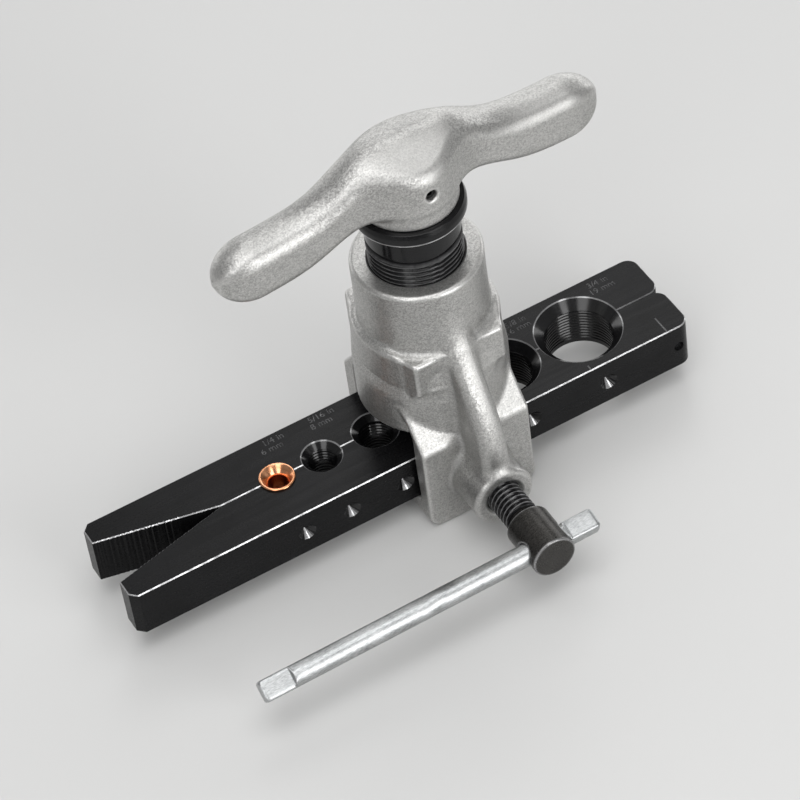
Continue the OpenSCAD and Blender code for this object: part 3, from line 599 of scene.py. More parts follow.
def yokeField(x, y, z):
    # turned body, two blocks, two legs, two ribs and a boss run together with cast fillets, then bored
    c = yokeCast
    r, side = np.sqrt(x * x + y * y), np.abs(x)
    body = turnedBody(r, z)
    chin = c["chinFillet"] * ramp(z, *c["chinRise"]) * ramp(side, *c["chinSpan"])
    fillet = c["blockFillet"] + (chin + c["flankFillet"] * ramp(side, *c["flankSpan"]))
    for out, half, edge, inner in ((-y, c["blockHalf"], c["blockEdge"], c["frontIn"]),
                                   (y, c["rearHalf"], c["rearEdge"], c["rearIn"])):
        body = meld(body, blockGap(x, out, z, half, edge), fillet)
        body = meld(body, legGap(out, z, side, inner), c["legFillet"])
    body = meld(body, ribGap(-y, z, side, c["ribOut"], c["ribFoot"]), c["ribFillet"])
    body = meld(body, ribGap(y, z, side, c["rearRibOut"], c["rearRibFoot"]), c["rearRibFillet"])
    fromAxis = np.sqrt(x * x + (z - c["clampZ"]) ** 2)
    body = meld(body, bossGap(-y, fromAxis), c["bossFillet"] + c["bossUpper"] * ramp(z, *c["bossSpan"]))
    p, q, s, t, u, v = c["waveRates"]
    wave = np.sin(p * x + q * z) * np.sin(s * y - t * z + 1) + np.sin(u * (x + y) + v * z)
    body = body + c["wave"] * wave  # slow unevenness of a casting
    channel = np.maximum(-y - c["frontIn"], y - c["rearIn"])
    channel = np.maximum(channel, np.maximum(c["lipTop"] - z, z - c["rim"]))
    body = carve(body, channel, c["channelEdge"])
    body = carve(body, np.maximum(np.abs(y) - c["lipIn"], z - c["gapTop"]), c["gapEdge"])
    hollow = np.maximum(r - c["hollow"], np.maximum(z - c["roof"], c["hollowFoot"] - z))
    body = carve(body, hollow, c["channelEdge"])
    flare = np.maximum(z - c["top"] + c["mouth"], 0)
    body = carve(body, np.maximum(r - c["bore"] - flare, c["boreFoot"] - z), c["boreEdge"])
    flare = np.maximum(-y - c["bossFace"] + c["bossMouth"], 0)
    return carve(body, np.maximum(fromAxis - c["clampBore"] - flare, y + c["clampEnd"]), c["clampEdge"])


addCasting("yokeCasting", yokeField, yokeCast, "yoke", ["yoke"], castSilver)


# T-handle casting

handleCast = {
    "cell": 0.62, "low": (-58.4, -16.4, 84.6), "high": (58.4, 16.4, 113), "yaw": 2.4, "reach": 57.0,
    "wave": 0.04, "waveRates": (0.21, 0.33, 0.15, 0.26), "waveShift": 0.3,
    "hubZ": 90.8, "hubAcross": 12.0, "hubDeep": 12.6, "hubShift": 0.8, "fillet": 8.0,
    "crown": 21.4, "crownWidth": 21.2, "crownPower": 5.2, "pitch": 0.48, "crest": 4.0, "ridge": 2.8,
    "wingTop": 12.0, "wingHalf": 6.3, "wingRound": 11.1, "tipLimit": 0.995,
    "wingDrop": 3.85, "wingLift": 2.9, "droop": 26.85, "droopPower": 6, "under": 3.4,
    "hub": 13.2, "disc": 6.0, "discEdge": 1.0, "discFillet": 0.8, "collar": 15.8, "collarEdge": 0.5,
    "stub": 8.0, "stubLength": 14.0, "holeEdge": 0.3, "setRise": 10.4, "setRadius": 1.62, "setMouth": 13.0,
}


def handleField(x, y, z):
    # an oval hub and two wings in plan, run together, carried from the drooping underside up to a roof that
    # slopes to front and back from its crest; the wing ends draw in like a half circle
    c = handleCast
    a = math.radians(c["yaw"])
    along, depth = x * math.cos(a) + y * math.sin(a), y * math.cos(a) - x * math.sin(a)
    bump = lambda width, power: 1 / (1 + (np.abs(along) / width) ** power)
    crest = c["hubZ"] + c["wingTop"] + (c["crown"] - c["wingTop"]) * bump(c["crownWidth"], c["crownPower"])
    low = c["hubZ"] - c["wingDrop"] + (c["wingDrop"] + c["wingLift"]) * bump(c["droop"], c["droopPower"])
    past = np.clip((np.abs(along) - c["reach"] + c["wingRound"]) / c["wingRound"], 0, c["tipLimit"])
    tip = np.sqrt(1 - past * past)
    middle = (crest + low) / 2
    flat, lift = np.abs(depth) / tip, middle + (z - middle) / tip
    u, v = along / c["hubAcross"], (depth + c["hubShift"]) / c["hubDeep"]
    reach = np.sqrt(u * u + v * v)
    oval = reach * (reach - 1) / (np.sqrt((u / c["hubAcross"]) ** 2 + (v / c["hubDeep"]) ** 2) + 1e-9)
    plan = meld(oval, flat - c["wingHalf"], c["fillet"])
    fall = c["pitch"] * (np.sqrt(flat * flat + c["crest"] ** 2) - c["crest"])
    roof = (lift - crest + fall) / math.hypot(1, c["pitch"])
    body = crossed(crossed(plan, roof, c["ridge"]), low - lift, c["under"]) * tip
    body = np.maximum(body, np.abs(along) - c["reach"])
    r, rise = np.sqrt(x * x + y * y), z - c["hubZ"]
    hub = crossed(r - c["hub"], np.maximum(rise - c["disc"], -rise), c["discEdge"])
    body = meld(body, hub, c["discFillet"])
    p, q, s, t = c["waveRates"]
    wave = np.sin(p * along + c["waveShift"]) * np.sin(q * depth) + np.sin(s * along + t * z)
    body = body + c["wave"] * wave  # slow unevenness of a casting
    body = carve(body, np.maximum(r - c["collar"], rise), c["collarEdge"])
    body = carve(body, np.maximum(r - c["stub"], rise - c["stubLength"]), c["holeEdge"])
    mouth = np.maximum(-depth - c["setMouth"], 0)
    hole = np.sqrt(along ** 2 + (rise - c["setRise"]) ** 2) - c["setRadius"] - mouth
    return carve(body, np.maximum(hole, depth), c["holeEdge"])


addCasting("handleCasting", handleField, handleCast, "feed", ["handle"], castSilver)


# feed screw: fine right-hand thread, relief groove, plain shank and the stub in the handle

feedScrew = {
    "outer": 12.6, "depth": 0.62, "pitch": 1.5, "low": 39.2, "top": 87.0, "plain": 7.0, "chamfer": 0.8,
    "startRun": 0.8, "endRun": 1.0, "threadShort": 0.3, "groove": 0.75, "grooveWide": 1.0,
    "shankFoot": 1.5, "shankFull": 1.65, "shankBevel": 0.12, "stub": 8.0, "stubTop": 104.8, "stubEdge": 0.5,
    "bore": 7.0, "boreX": 1.2, "boreTop": 59.5, "boreSteps": 72, "cutOver": 1.0,
    "pocket": 3.1, "pocketTop": 65.5, "pocketSteps": 48,
    "crestBand": 0.12, "crestRun": 0.1, "crestWearAndGlint": 0.12, "steps": 120, "sharp": 38,
}


def buildFeedScrew():
    # the thread's radius on a grid of angle and height, with the groove, the shank and the stub as further
    # rings, then bored off centre for the cone's bearing
    c = feedScrew
    o, s, steps, relief = c["outer"], c["stub"], c["steps"], c["top"] - c["plain"] - c["pitch"]
    height = np.arange(c["low"] + c["chamfer"], relief - c["threadShort"], c["pitch"] / threadForm["rows"])
    thread = threadRadius(o, c["depth"], c["pitch"], steps, height, c["startRun"], c["endRun"])
    above = [(o - c["groove"], relief), (o - c["groove"], relief + c["grooveWide"]),
             (o - c["shankBevel"], relief + c["shankFoot"]), (o, relief + c["shankFull"]), (o, c["top"]),
             (s, c["top"]), (s, c["stubTop"] - c["stubEdge"]), (s - c["stubEdge"], c["stubTop"])]
    ring = lambda r: np.full((1, steps), r)
    radius = np.concatenate([ring(o - c["chamfer"]), thread] + [ring(r) for r, level in above])
    z = np.concatenate([[c["low"]], height, [level for r, level in above]])
    points, faces = turnedSkin(radius, z, steps)
    # bare thread crests, partly wear and partly painted glints
    crest = np.clip((radius - o + c["crestBand"]) / c["crestRun"], 0, 1)
    crest[len(height) + 1:] = 0
    piece = addPiece("feedThread", points, [faces, endCaps(len(z), steps)], "feed",
                     ["feed_screw"], blackSteel, marks={"wearAndHighlight": crest.reshape(-1) * c["crestWearAndGlint"]})
    x, roof, over = c["boreX"], c["boreTop"], c["cutOver"]
    cutPiece(piece, [rodCutter((x, 0, c["low"] - over), (x, 0, roof), c["bore"], c["boreSteps"])])
    cutPiece(piece, [rodCutter((0, 0, roof - over), (0, 0, c["pocketTop"]), c["pocket"], c["pocketSteps"])])
    piece.data.set_sharp_from_angle(angle=math.radians(c["sharp"]))


buildFeedScrew()


# stop collar: a turned ring whose lower edge is painted bare metal as a highlight line

stopCollar = {
    "outer": 14.8, "inner": 8.05, "low": feedScrew["top"], "height": 3.8, "steps": 120, "sharp": 40,
    # inward, upward and bare metal painted as a highlight; then inward and downward
    "lowerEdge": ((0.6, 0, 0.6), (0.3, 0.08, 1), (0.08, 0.32, 1), (0, 0.65, 0.7), (0, 0.85, 0)),
    "upperEdge": ((0, 1.5), (0.1, 1.2), (0.5, 0.15), (0.8, 0)),
}


def buildStopCollar():
    # closed profile of the ring carried round the feed axis
    c = stopCollar
    low, top = c["low"], c["low"] + c["height"]
    lower = [(c["outer"] - inward, low + up) for inward, up, bare in c["lowerEdge"]]
    upper = [(c["outer"] - inward, top - down) for inward, down in c["upperEdge"]]
    points, faces = turnedSleeve([(c["inner"], low)] + lower + upper + [(c["inner"], top)], c["steps"])
    wearAndHighlight = [0] + [bare for inward, up, bare in c["lowerEdge"]] + [0] * (len(upper) + 1)
    addPiece("stopCollarRing", points, [faces], "feed", ["stop_collar"], blackSteel,
             sharp=c["sharp"], marks={"wearAndHighlight": np.repeat(np.array(wearAndHighlight, float), c["steps"])})


buildStopCollar()


# copper tube sample with its flare

copperTube = {
    "x": -48.9, "outer": 3.155, "wall": 0.8, "chamfer": 0.2, "flareFoot": 13.38, "flareRim": 4.82,
    "bend": 0.3, "outerBend": (0.12, 0.08), "innerBends": ((0.45, 0.72), (0.12, 0.3)),
    "lip": 0.4, "lipIn": 0.28, "lipSteps": 9, "steps": 96, "sharp": 50,
}


def buildCopperTube():
    # closed wall profile: up the outside, round the lip, down the flare and the bore
    c = copperTube
    o, i, f, e = c["outer"], c["outer"] - c["wall"], c["flareFoot"], c["chamfer"]
    outside = [(i, e), (i + e, 0), (o - e, 0), (o, e), (o, f - c["bend"]),
               (o + c["outerBend"][0], f + c["outerBend"][1])]
    lipR, lipZ = c["flareRim"] - c["lipIn"], f + c["flareRim"] - o + c["lipIn"]
    lip = [(lipR + c["lip"] * math.cos(a), lipZ + c["lip"] * math.sin(a))
           for a in np.radians(np.linspace(-45, 135, c["lipSteps"]))]
    inside = [(i + outward, f + up) for outward, up in c["innerBends"]] + [(i, f - c["bend"])]
    points, faces = turnedSleeve(outside + lip + inside, c["steps"])
    points[:, 0] += c["x"]
    addPiece("copperFlare", points, [faces], "rear_jaw", ["copper_tube"], copper, sharp=c["sharp"])


buildCopperTube()


# die bar halves

dieBar = {
    "tail": -100.0, "nose": 70.5, "half": 15.0, "height": 15.0, "split": 0.05, "bevel": 0.3, "splitBevel": 0.24,
    "noseRound": 3.5, "noseSteps": 8, "tailBevel": 2.0, "cornerShare": 0.4, "root": -65.7, "vHalf": 8.0,
    "sawSteps": 96, "sawDepth": 0.07, "sawLow": -0.1, "sawFade": 8,
    "sawWaves": ((1, 171, 0), (1, 293, 1.3), (0.7, 417, 0.4)),
    "dies": (-48.9, -35.4, -19.1, 0.0, 20.5, 44.2), "tubes": (6.35, 8.0, 9.525, 12.7, 15.88, 19.05),
    "mouth": 1.05, "mouthShare": 0.09, "arcSteps": 12, "arcPerMm": 2.2, "plainFoot": 0.9,
    "ringFoot": 1.2, "ringPitch": 1.08, "ringDepth": 0.25, "ringCount": 10, "ringForm": (0.46, 0.74),
    "ringFrom": 1.0, "ringShort": 0.35,
    "dimple": 2.5, "dimpleTip": 0.08, "dimpleShort": 0.1, "dimplePast": 0.6, "cutOver": 1.0,
    "dowelX": 66.5, "dowelRadius": 1.5, "dowelPlay": 0.25, "dowelDeep": 9.5,
    "fulcrumX": -63.0, "fulcrumRadius": 2.05, "fulcrumShort": 2.0,
    "engrave": 0.3, "tickHalf": 0.2, "ticks": ((63.3, -14.8, -8.6), (39.3, -14.8, -13.0)), "textSize": 2.8,
    "sizes": (("1/4 in", -43.4, 12.6), ("6 mm", -45.0, 10.0), ("5/16 in", -28.6, 12.9), ("8 mm", -29.8, 10.3),
              ("3/8 in", -11.6, 12.6), ("10 mm", -11.6, 10.0), ("1/2 in", 9.6, 12.6), ("12 mm", 9.6, 10.0),
              ("5/8 in", 31.6, 12.2), ("16 mm", 31.0, 9.7), ("3/4 in", 57.6, 12.0), ("19 mm", 57.6, 9.4)),
}


def dieRings(z, mouth):
    # serrated rings up a die: a plain land, a flank out to the ring's depth and a return, ended below the mouth
    c = dieBar
    land, deepest = c["ringForm"]
    phase = ((z - c["ringFoot"]) / c["ringPitch"] + 1e-6) % 1
    ring = np.interp(phase, [0, land, deepest, 1], [0, 0, 1, 0])
    return np.where((z > c["ringFrom"]) & (z < c["height"] - mouth - c["ringShort"]), c["ringDepth"] * ring, 0)


def sawnFlank(inset):
    # the rough face of the V from tail to root: three waves of saw marks that fade out at the root
    c = dieBar
    share = np.linspace(0, 1, c["sawSteps"])[1:-1]
    waves = sum(weight * np.sin(rate * share + start) for weight, rate, start in c["sawWaves"])
    saw = c["sawDepth"] * waves * np.clip(c["sawFade"] * (1 - share), 0, 1)
    push = inset + np.maximum(saw, c["sawLow"])
    run = np.array([c["root"] - c["tail"], c["split"] - c["vHalf"]])
    slope = run / np.linalg.norm(run)
    return c["tail"] + run[0] * share - slope[1] * push, c["vHalf"] + run[1] * share + slope[0] * push


def buildHalfWall():
    # the plan of one half carried up the bar's height: at each level the dies have their own radius (serrated
    # rings, then the 45 degree mouth) and the outline draws in at the bevels
    c = dieBar
    top = c["height"]
    mouths = [c["mouthShare"] * tube + c["mouth"] for tube in c["tubes"]]
    rings = c["ringFoot"] + c["ringPitch"] * (np.arange(c["ringCount"])[:, None] + (0, *c["ringForm"]))
    z = np.unique(np.concatenate([[0, c["splitBevel"], c["bevel"], c["plainFoot"]], rings.reshape(-1),
                                  top - np.array(mouths), [top - c["bevel"], top - c["splitBevel"], top]]))
    inset = lambda b: np.maximum(np.maximum(b - z, z - top + b), 0)[:, None]
    outer, split = inset(c["bevel"]), inset(c["splitBevel"])
    base = c["split"] + split
    lay = lambda x, y: np.stack([x + np.zeros_like(base), y + np.zeros_like(base)], -1)
    parts = [lay(np.array([[c["root"]]]), base)]
    for x, tube, mouth in zip(c["dies"], c["tubes"], mouths):
        flare = np.maximum(z - top + mouth, 0) + np.maximum(c["bevel"] - z, 0)
        r = (tube / 2 + dieRings(z, mouth) + flare)[:, None]
        tilt = np.arcsin(np.clip(base / r, 0, 1))
        steps = c["arcSteps"] + int(c["arcPerMm"] * tube)
        a = math.pi - tilt - (math.pi - 2 * tilt) * np.linspace(0, 1, steps)
        parts.append(lay(x + r * np.cos(a), r * np.sin(a)))
    n, half, middle, steps = c["noseRound"], c["half"], c["nose"] - c["noseRound"], c["noseSteps"]
    pull = split + (outer - split) * np.linspace(0, 1, steps)
    swing = np.radians(np.linspace(-90, 0, steps))
    parts.append(lay(middle + (n - pull) * np.cos(swing), c["split"] + n + (n - pull) * np.sin(swing)))
    swing = np.radians(np.linspace(0, 90, steps))
    parts.append(lay(middle + (n - outer) * np.cos(swing), half - n + (n - outer) * np.sin(swing)))
    tail, bevel = c["tail"], c["tailBevel"]
    parts.append(lay(np.array([[tail + bevel]]), half - outer))
    parts.append(lay(tail + outer, half - bevel - c["cornerShare"] * outer))
    parts.append(lay(tail + outer, c["vHalf"] + split))
    parts.append(lay(*sawnFlank(split)))
    plan = np.concatenate(parts, 1)
    points = np.concatenate([plan, np.broadcast_to(z[:, None, None], plan.shape[:2] + (1,))], -1)
    return points.reshape(-1, 3), len(z), plan.shape[1]


def textCutter(words, x, y):
    # a size number as a thin body that straddles the bar's top face
    c = dieBar
    curve = bpy.data.curves.new("sizeMark", "FONT")
    curve.body, curve.align_x, curve.align_y = words, "CENTER", "CENTER"
    curve.size, curve.extrude, curve.resolution_u = c["textSize"], c["engrave"], 3
    text = newObject("sizeMark", curve)
    mesh = bakedMesh(text)
    points = np.zeros(len(mesh.vertices) * 3)
    mesh.vertices.foreach_get("co", points)
    faces = [list(f.vertices) for f in mesh.polygons]
    bpy.data.objects.remove(text)
    bpy.data.curves.remove(curve)
    bpy.data.meshes.remove(mesh)
    return points.reshape(-1, 3) + (x, y, c["height"]), faces


def tickCutter(x, y0, y1):
    # a witness line as a thin box that straddles the bar's top face
    w, d, top = dieBar["tickHalf"], dieBar["engrave"], dieBar["height"]
    points = np.array([(x + i, j, top + k) for k in (-d, d) for i, j in ((-w, y0), (w, y0), (w, y1), (-w, y1))])
    return points, [[3, 2, 1, 0], [4, 5, 6, 7], [0, 1, 5, 4], [1, 2, 6, 5], [2, 3, 7, 6], [3, 0, 4, 7]]


def barCutters(hand):
    # the fulcrum's pocket in both halves; dimples, dowel hole and lines in front; dowel pocket and sizes behind
    c = dieBar
    z, half, over, dowel, pin = c["height"] / 2, c["half"], c["cutOver"], c["dowelX"], c["fulcrumX"]
    if hand < 0:
        tip, mouth = c["dimple"] - half + c["dimpleShort"], -half - c["dimplePast"]
        cutters = [coneCutter((x, tip, z), (x, mouth, z), c["dimpleTip"], c["dimple"] + c["dimplePast"])
                   for x in c["dies"]]
        cutters.append(rodCutter((dowel, over, z), (dowel, -half - over, z), c["dowelRadius"]))
        cutters += [tickCutter(*tick) for tick in c["ticks"]]
    else:
        cutters = [rodCutter((dowel, c["dowelDeep"], z), (dowel, -over, z), c["dowelRadius"] + c["dowelPlay"])]
        cutters += [textCutter(*size) for size in c["sizes"]]
    low, high = c["fulcrumShort"], c["height"] - c["fulcrumShort"]
    return cutters + [rodCutter((pin, 0, low), (pin, 0, high), c["fulcrumRadius"])]


barWear = {
    "edge": 0.9, "paintedSplitFade": 0.65, "splitRun": (-40.0, 30.0), "splitNear": 1.0, "rim": 0.45, "rimBand": 0.28,
    "markWall": 0.8, "markFloor": 0.3, "markBand": 0.31, "markInset": 0.35, "markDeep": 0.2, "glint": 0.75,
    "glintUp": 0.67, "coneFace": 0.707, "coneGap": 0.1, "dieShare": 0.59, "diePast": 1.1,
    "steep": 0.3, "slope": 0.4, "flat": 0.9, "sharp": 28,
}


def markWearAndHighlights(piece):
    # bare metal in the marks; bare metal, partly wear and partly a painted highlight, on the long bevels and
    # thinly on the die mouths; a painted glint in each dimple; a face is marked by where it lies and points
    c, w, mesh, top = dieBar, barWear, piece.data, dieBar["height"]
    count = len(mesh.polygons)
    normal, middle = np.zeros(count * 3), np.zeros(count * 3)
    mesh.polygons.foreach_get("normal", normal)
    mesh.polygons.foreach_get("center", middle)
    x, y, z = (middle.reshape(-1, 3) / mm).T
    y, across, up, tilt = np.abs(y), np.abs(normal[1::3]), normal[2::3], np.abs(normal[2::3])
    sloped = (tilt > w["slope"]) & (tilt < w["flat"])
    bored, atDimple = np.zeros(count, bool), np.zeros(count, bool)
    for die, tube in zip(c["dies"], c["tubes"]):
        bored |= np.hypot(x - die, y) < w["dieShare"] * tube + w["diePast"]
        atDimple |= np.abs(x - die) < c["dimple"]
    bored &= tilt < w["flat"]
    bevelled = sloped & (np.minimum(z, top - z) < w["markBand"]) & ~bored
    # die mouth rims: bare metal all round, partly wear and partly a painted highlight
    rim = bored & sloped & (z > top - w["rimBand"])
    sunk = (z > top - w["markBand"]) & (y < c["half"] - w["markInset"]) & ~bored
    walls, floors = sunk & (tilt < w["steep"]), sunk & (tilt > w["flat"]) & (z < top - w["markDeep"])
    dimpled = atDimple & (y > c["half"] - c["dimple"]) & (np.abs(across - w["coneFace"]) < w["coneGap"])
    # painted glint: bare metal on the dimple faces that point up
    glint = dimpled & (up > w["glintUp"])
    # bevels: bare metal, partly edge wear and partly a painted highlight; the split's bevel is painted dimmer
    # from the tail towards the nose
    edge = w["edge"] - np.where(y < w["splitNear"], w["paintedSplitFade"] * ramp(x, *w["splitRun"]), 0)
    wearAndHighlight = np.select([walls, floors, bevelled, rim, glint],
                     [w["markWall"], w["markFloor"], edge, w["rim"], w["glint"]], 0.0)
    mesh.materials.append(boredSteel)
    mesh.polygons.foreach_set("material_index", (bored | dimpled).astype(np.int32))
    mesh.attributes.new("wearAndHighlight", "FLOAT", "FACE").data.foreach_set("value", wearAndHighlight.astype(np.float32))
    mesh.shade_smooth()
    mesh.set_sharp_from_angle(angle=math.radians(w["sharp"]))


def buildDieBar(name, hand, body, node):
    # one half: the wall and its two flat ends, cut and then marked with its wear and painted highlights
    points, levels, steps = buildHalfWall()
    faces, caps = gridFaces(levels, steps), endCaps(levels, steps)
    if hand < 0:
        points = points * (1, -1, 1)
        faces, caps = faces[:, ::-1], [f[::-1] for f in caps]
    piece = addPiece(name, points, [faces, caps], body, [node], blackOxide)
    cutPiece(piece, barCutters(hand))
    markWearAndHighlights(piece)


buildDieBar("rearDieHalf", 1, "rear_jaw", "rear_die_bar")
buildDieBar("frontDieHalf", -1, "front_jaw", "front_die_bar")


# clamp screw: drilled head, neck and thread

clampScrew = {
    "cell": 0.3, "low": (-6.9, -60.4, 0.6), "high": (6.9, -42.0, 14.4), "clampZ": yokeCast["clampZ"],
    "headFace": -59.6, "head": 6.25, "edge": 0.55, "neckEnd": -44.5, "neckFrom": 1.6, "neckTo": 0.1,
    "neckPast": 1.2, "neckDip": 0.7, "crossY": -54.5, "crossRadius": 3.1, "crossEdge": 0.7, "tilt": 0.8,
    "outer": 4.75, "depth": 0.72, "pitch": 1.5, "threadFoot": 1.0, "end": -22.6, "startRun": 1.0,
    "endRun": 0.8, "firstDip": 0.8, "lastDip": 0.5, "bendReach": 0.35, "bendFrom": 0.7, "headWorn": 0.4,
    "crestBand": 0.1, "crestWearAndGlint": 0.25, "steps": 72, "sharp": 38,
}


def clampHeadField(x, y, z):
    # turned head with a neck cone, crossed by the tommy bar's hole
    c = clampScrew
    e, end = c["edge"], c["neckEnd"]
    face, wide, neck = c["headFace"] + e, c["head"] - e, c["outer"] - c["neckDip"] - e
    r = np.sqrt(x * x + (z - c["clampZ"]) ** 2)
    start, foot, past = end - c["neckFrom"], end + c["neckTo"], end + c["neckPast"]
    head = outlineGap(y, r, [(face, pastAxis), (face, wide), (start, wide), (foot, neck), (past, neck),
                             (past, pastAxis)]) - e
    a = math.radians(c["tilt"])
    across = np.sqrt((y - c["crossY"]) ** 2 + ((z - c["clampZ"]) * math.cos(a) - x * math.sin(a)) ** 2)
    return carve(head, across - c["crossRadius"], c["crossEdge"])


def buildClampScrew():
    # the head's skin and the thread's grid of angle and length in one mesh
    c = clampScrew
    steps, outer, foot = c["steps"], c["outer"], c["neckEnd"] + c["threadFoot"]
    head, headFaces = castSurface(clampHeadField, c["low"], c["high"], c["cell"])
    length = np.arange(0, c["end"] - c["neckEnd"] - c["threadFoot"], c["pitch"] / threadForm["rows"])
    radius = threadRadius(outer, c["depth"], c["pitch"], steps, length, c["startRun"], c["endRun"])
    radius[0], radius[-1] = outer - c["firstDip"], outer - c["lastDip"]
    rod, rodFaces = turnedSkin(radius, length, steps)
    rod = np.stack([rod[:, 0], foot + rod[:, 2], c["clampZ"] - rod[:, 1]], 1)  # laid along the clamp's axis
    bend = fieldBend(clampHeadField, head, c["bendReach"])
    # bare thread crests, partly wear and partly painted glints
    crest = np.clip((radius - outer + c["crestBand"]) / c["crestBand"], 0, 1)
    headWorn = np.clip(bend - c["bendFrom"], 0, 1) * c["headWorn"]
    wearAndHighlight = np.concatenate([headWorn, crest.reshape(-1) * c["crestWearAndGlint"]])
    faces = [headFaces, rodFaces + len(head), endCaps(len(length), steps, len(head))]
    piece = addPiece("clampScrewHead", np.concatenate([head, rod]), faces, "clamp",
                     ["clamp_screw"], headSteel, sharp=c["sharp"], marks={"wearAndHighlight": wearAndHighlight})
    piece.data.materials.append(blackSteel)
    onRod = np.arange(len(piece.data.polygons)) >= len(headFaces)
    piece.data.polygons.foreach_set("material_index", onRod.astype(np.int32))


buildClampScrew()


# tommy bar: drawn round bar with pressed ends

tommyBar = {
    "radius": 3.0, "length": 99.6, "start": -84.35, "flat": 8.8, "flatHalf": 3.0, "flatThick": 2.1, "square": 4,
    "pressHalf": 0.5, "edge": 0.9, "edgeDraw": 0.16, "twist": (38.0, 16.0), "edgeRows": 5, "edgeGap": 0.5,
    "flatRows": 8, "pressGap": 0.2, "pressRows": 7, "barGap": 0.7, "barRows": 24, "steps": 64, "sharp": 35,
}


def buildTommyBar():
    # a section carried along the bar: round in the middle, at the ends a squarish oval pressed flat, each at
    # its own turn, all laid through the hole in the clamp screw's head
    c, hole, steps = tommyBar, clampScrew, tommyBar["steps"]
    edge, flat, half, length = c["edge"], c["flat"], c["pressHalf"], c["length"]
    end = np.concatenate([np.linspace(0, edge, c["edgeRows"]),
                          np.linspace(edge + c["edgeGap"], flat - (half + c["pressGap"]), c["flatRows"]),
                          np.linspace(flat - half, flat + half, c["pressRows"])])
    gap = half + c["barGap"]
    bar = np.linspace(flat + gap, length - flat - gap, c["barRows"])
    along = np.concatenate([end, bar, length - end[::-1]])
    inset = np.minimum(along, length - along)
    press = eased(np.clip((flat + half - inset) / (2 * half), 0, 1))
    shrink = 1 - c["edgeDraw"] * np.clip(1 - inset / edge, 0, 1) ** 2
    wide = (c["radius"] + (c["flatHalf"] - c["radius"]) * press) * shrink
    thick = (c["radius"] + (c["flatThick"] - c["radius"]) * press) * shrink
    power = (2 / (2 + c["square"] * press))[:, None]
    angle = turn * np.arange(steps) / steps
    cos, sin = np.cos(angle), np.sin(angle)
    y = wide[:, None] * np.sign(cos) * np.abs(cos) ** power
    z = thick[:, None] * np.sign(sin) * np.abs(sin) ** power
    x = c["start"] + along[:, None] + 0 * y
    spin = np.radians(np.where(along < length / 2, *c["twist"]))[:, None]
    y, z = y * np.cos(spin) - z * np.sin(spin), y * np.sin(spin) + z * np.cos(spin)
    a = math.radians(hole["tilt"])
    points = np.stack([x * math.cos(a) - z * math.sin(a), hole["crossY"] + y,
                       hole["clampZ"] + x * math.sin(a) + z * math.cos(a)], -1).reshape(-1, 3)
    rows = len(along)
    addPiece("tommyBarZinc", points, [gridFaces(rows, steps), endCaps(rows, steps)], "tommy",
             ["tommy_bar"], zincPlate, sharp=c["sharp"])


buildTommyBar()


# floor, light and camera

stage = {"floor": -7.2, "floorHalf": 3.0, "floorTone": (0.58, 0.58, 0.575), "floorRough": 0.55, "world": 0.25}


def buildStage():
    # a pale floor just under the yoke's foot, in a pale room
    half, z = stage["floorHalf"], stage["floor"] * mm
    mesh = bpy.data.meshes.new("floor")
    corners = [(-half, -half, z), (half, -half, z), (half, half, z), (-half, half, z)]
    mesh.from_pydata(corners, [], [(0, 1, 2, 3)])
    finish, _, shader = newFinish("paleFloor", 0.0, stage["floorRough"])
    shader.inputs["Base Color"].default_value = (*stage["floorTone"], 1)
    mesh.materials.append(finish)
    newObject("floor", mesh)
    world = bpy.data.worlds.new("paleRoom")
    bpy.context.scene.world = world
    world.use_nodes = True
    back = world.node_tree.nodes["Background"]
    back.inputs["Color"].default_value = (1, 1, 1, 1)
    back.inputs["Strength"].default_value = stage["world"]


def standing(right, up, back, place):
    # the matrix of a lamp or camera from its three directions and its place
    return Matrix([[right[i], up[i], back[i], place[i]] for i in range(3)] + [[0, 0, 0, 1]])


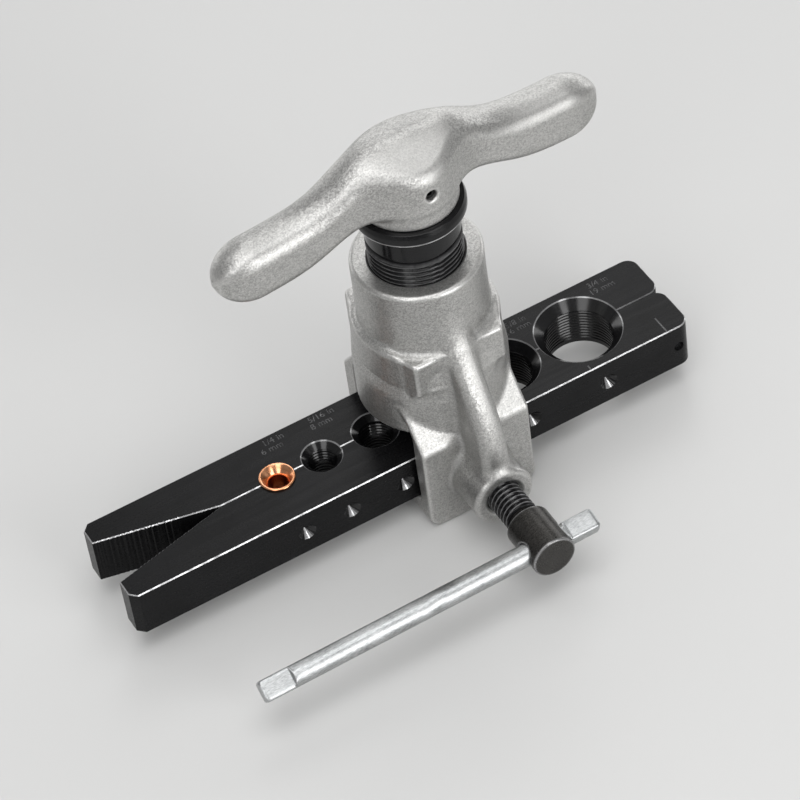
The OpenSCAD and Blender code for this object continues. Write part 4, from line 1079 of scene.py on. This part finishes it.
softboxes = {  # places and sizes in metres; glow is the radiance of the lamp's face
    "overheadSoftbox": {"place": (-0.1, -0.1, 1.0), "aim": (0, 0, 0.05),
                        "wide": 0.9, "tall": 0.9, "glow": 2.5},
    "leftFrontSoftbox": {"place": (-0.6, -0.57, 0.6), "aim": (0, 0, 0.04),
                         "wide": 0.42, "tall": 0.7, "glow": 2.7},
    "lowFrontSoftbox": {"place": (0.27, -0.93, 0.32), "aim": (0, 0, 0.03),
                        "wide": 0.5, "tall": 0.6, "glow": 4.8},
    "highFrontSoftbox": {"place": (0.13, -0.75, 0.67), "aim": (0, 0, 0.03),
                         "wide": 0.24, "tall": 0.24, "glow": 3.6},
    "backSoftbox": {"place": (0.36, 0.65, 0.84), "aim": (0.03, 0, 0.03),
                    "wide": 0.45, "tall": 0.45, "glow": 2.7},
    "rimSoftbox": {"place": (0.8, 0.68, 0.26), "aim": (0, 0, 0.09),
                   "wide": 1.7, "tall": 0.46, "glow": 2.0},
    "rearSoftbox": {"place": (-0.3, 1.02, 0.22), "aim": (0, 0, 0.09),
                    "wide": 0.8, "tall": 0.42, "glow": 1.7},
}


def addSoftbox(name, place, aim, wide, tall, glow):
    # a lamp of a width and height at a place, facing its aim
    lamp = bpy.data.lights.new(name, "AREA")
    lamp.shape, lamp.size, lamp.size_y = "RECTANGLE", wide, tall
    lamp.energy = glow * math.pi * wide * tall
    back = np.array(place, float) - aim
    back /= np.linalg.norm(back)
    right = np.cross((0, 0, 1), back)
    right /= np.linalg.norm(right)
    newObject(name, lamp).matrix_world = standing(right, np.cross(back, right), back, place)


photoView = {
    "azimuth": -23.341, "elevation": 47.016, "roll": -8.729, "distance": 1.02963,
    "across": 0.009884, "up": 0.000307, "lift": 0.015,
    "focal": 3860.0, "pixels": 800, "sensor": 36, "near": 0.05, "far": 20,
}


def buildCamera():
    # looks along the fitted direction; the two offsets slide the camera sideways in its own plane
    c = photoView
    az, el, roll = (math.radians(c[k]) for k in ("azimuth", "elevation", "roll"))
    back = np.array([math.sin(az) * math.cos(el), -math.cos(az) * math.cos(el), math.sin(el)])
    level = np.array([math.cos(az), math.sin(az), 0])
    upright = np.cross(back, level)
    right = math.cos(roll) * level + math.sin(roll) * upright
    up = -math.sin(roll) * level + math.cos(roll) * upright
    place = back * c["distance"] - right * c["across"] - up * c["up"] + np.array([0, 0, c["lift"]])
    lens = bpy.data.cameras.new("photoCamera")
    lens.sensor_width = c["sensor"]
    lens.lens = c["focal"] * c["sensor"] / c["pixels"]
    lens.clip_start, lens.clip_end = c["near"], c["far"]
    camera = newObject("photoCamera", lens)
    camera.matrix_world = standing(right, up, back, place)
    bpy.context.scene.camera = camera


buildStage()
for name, box in softboxes.items():
    addSoftbox(name, **box)
buildCamera()
bpy.context.scene.view_settings.view_transform = "Standard"
print("stage ready")
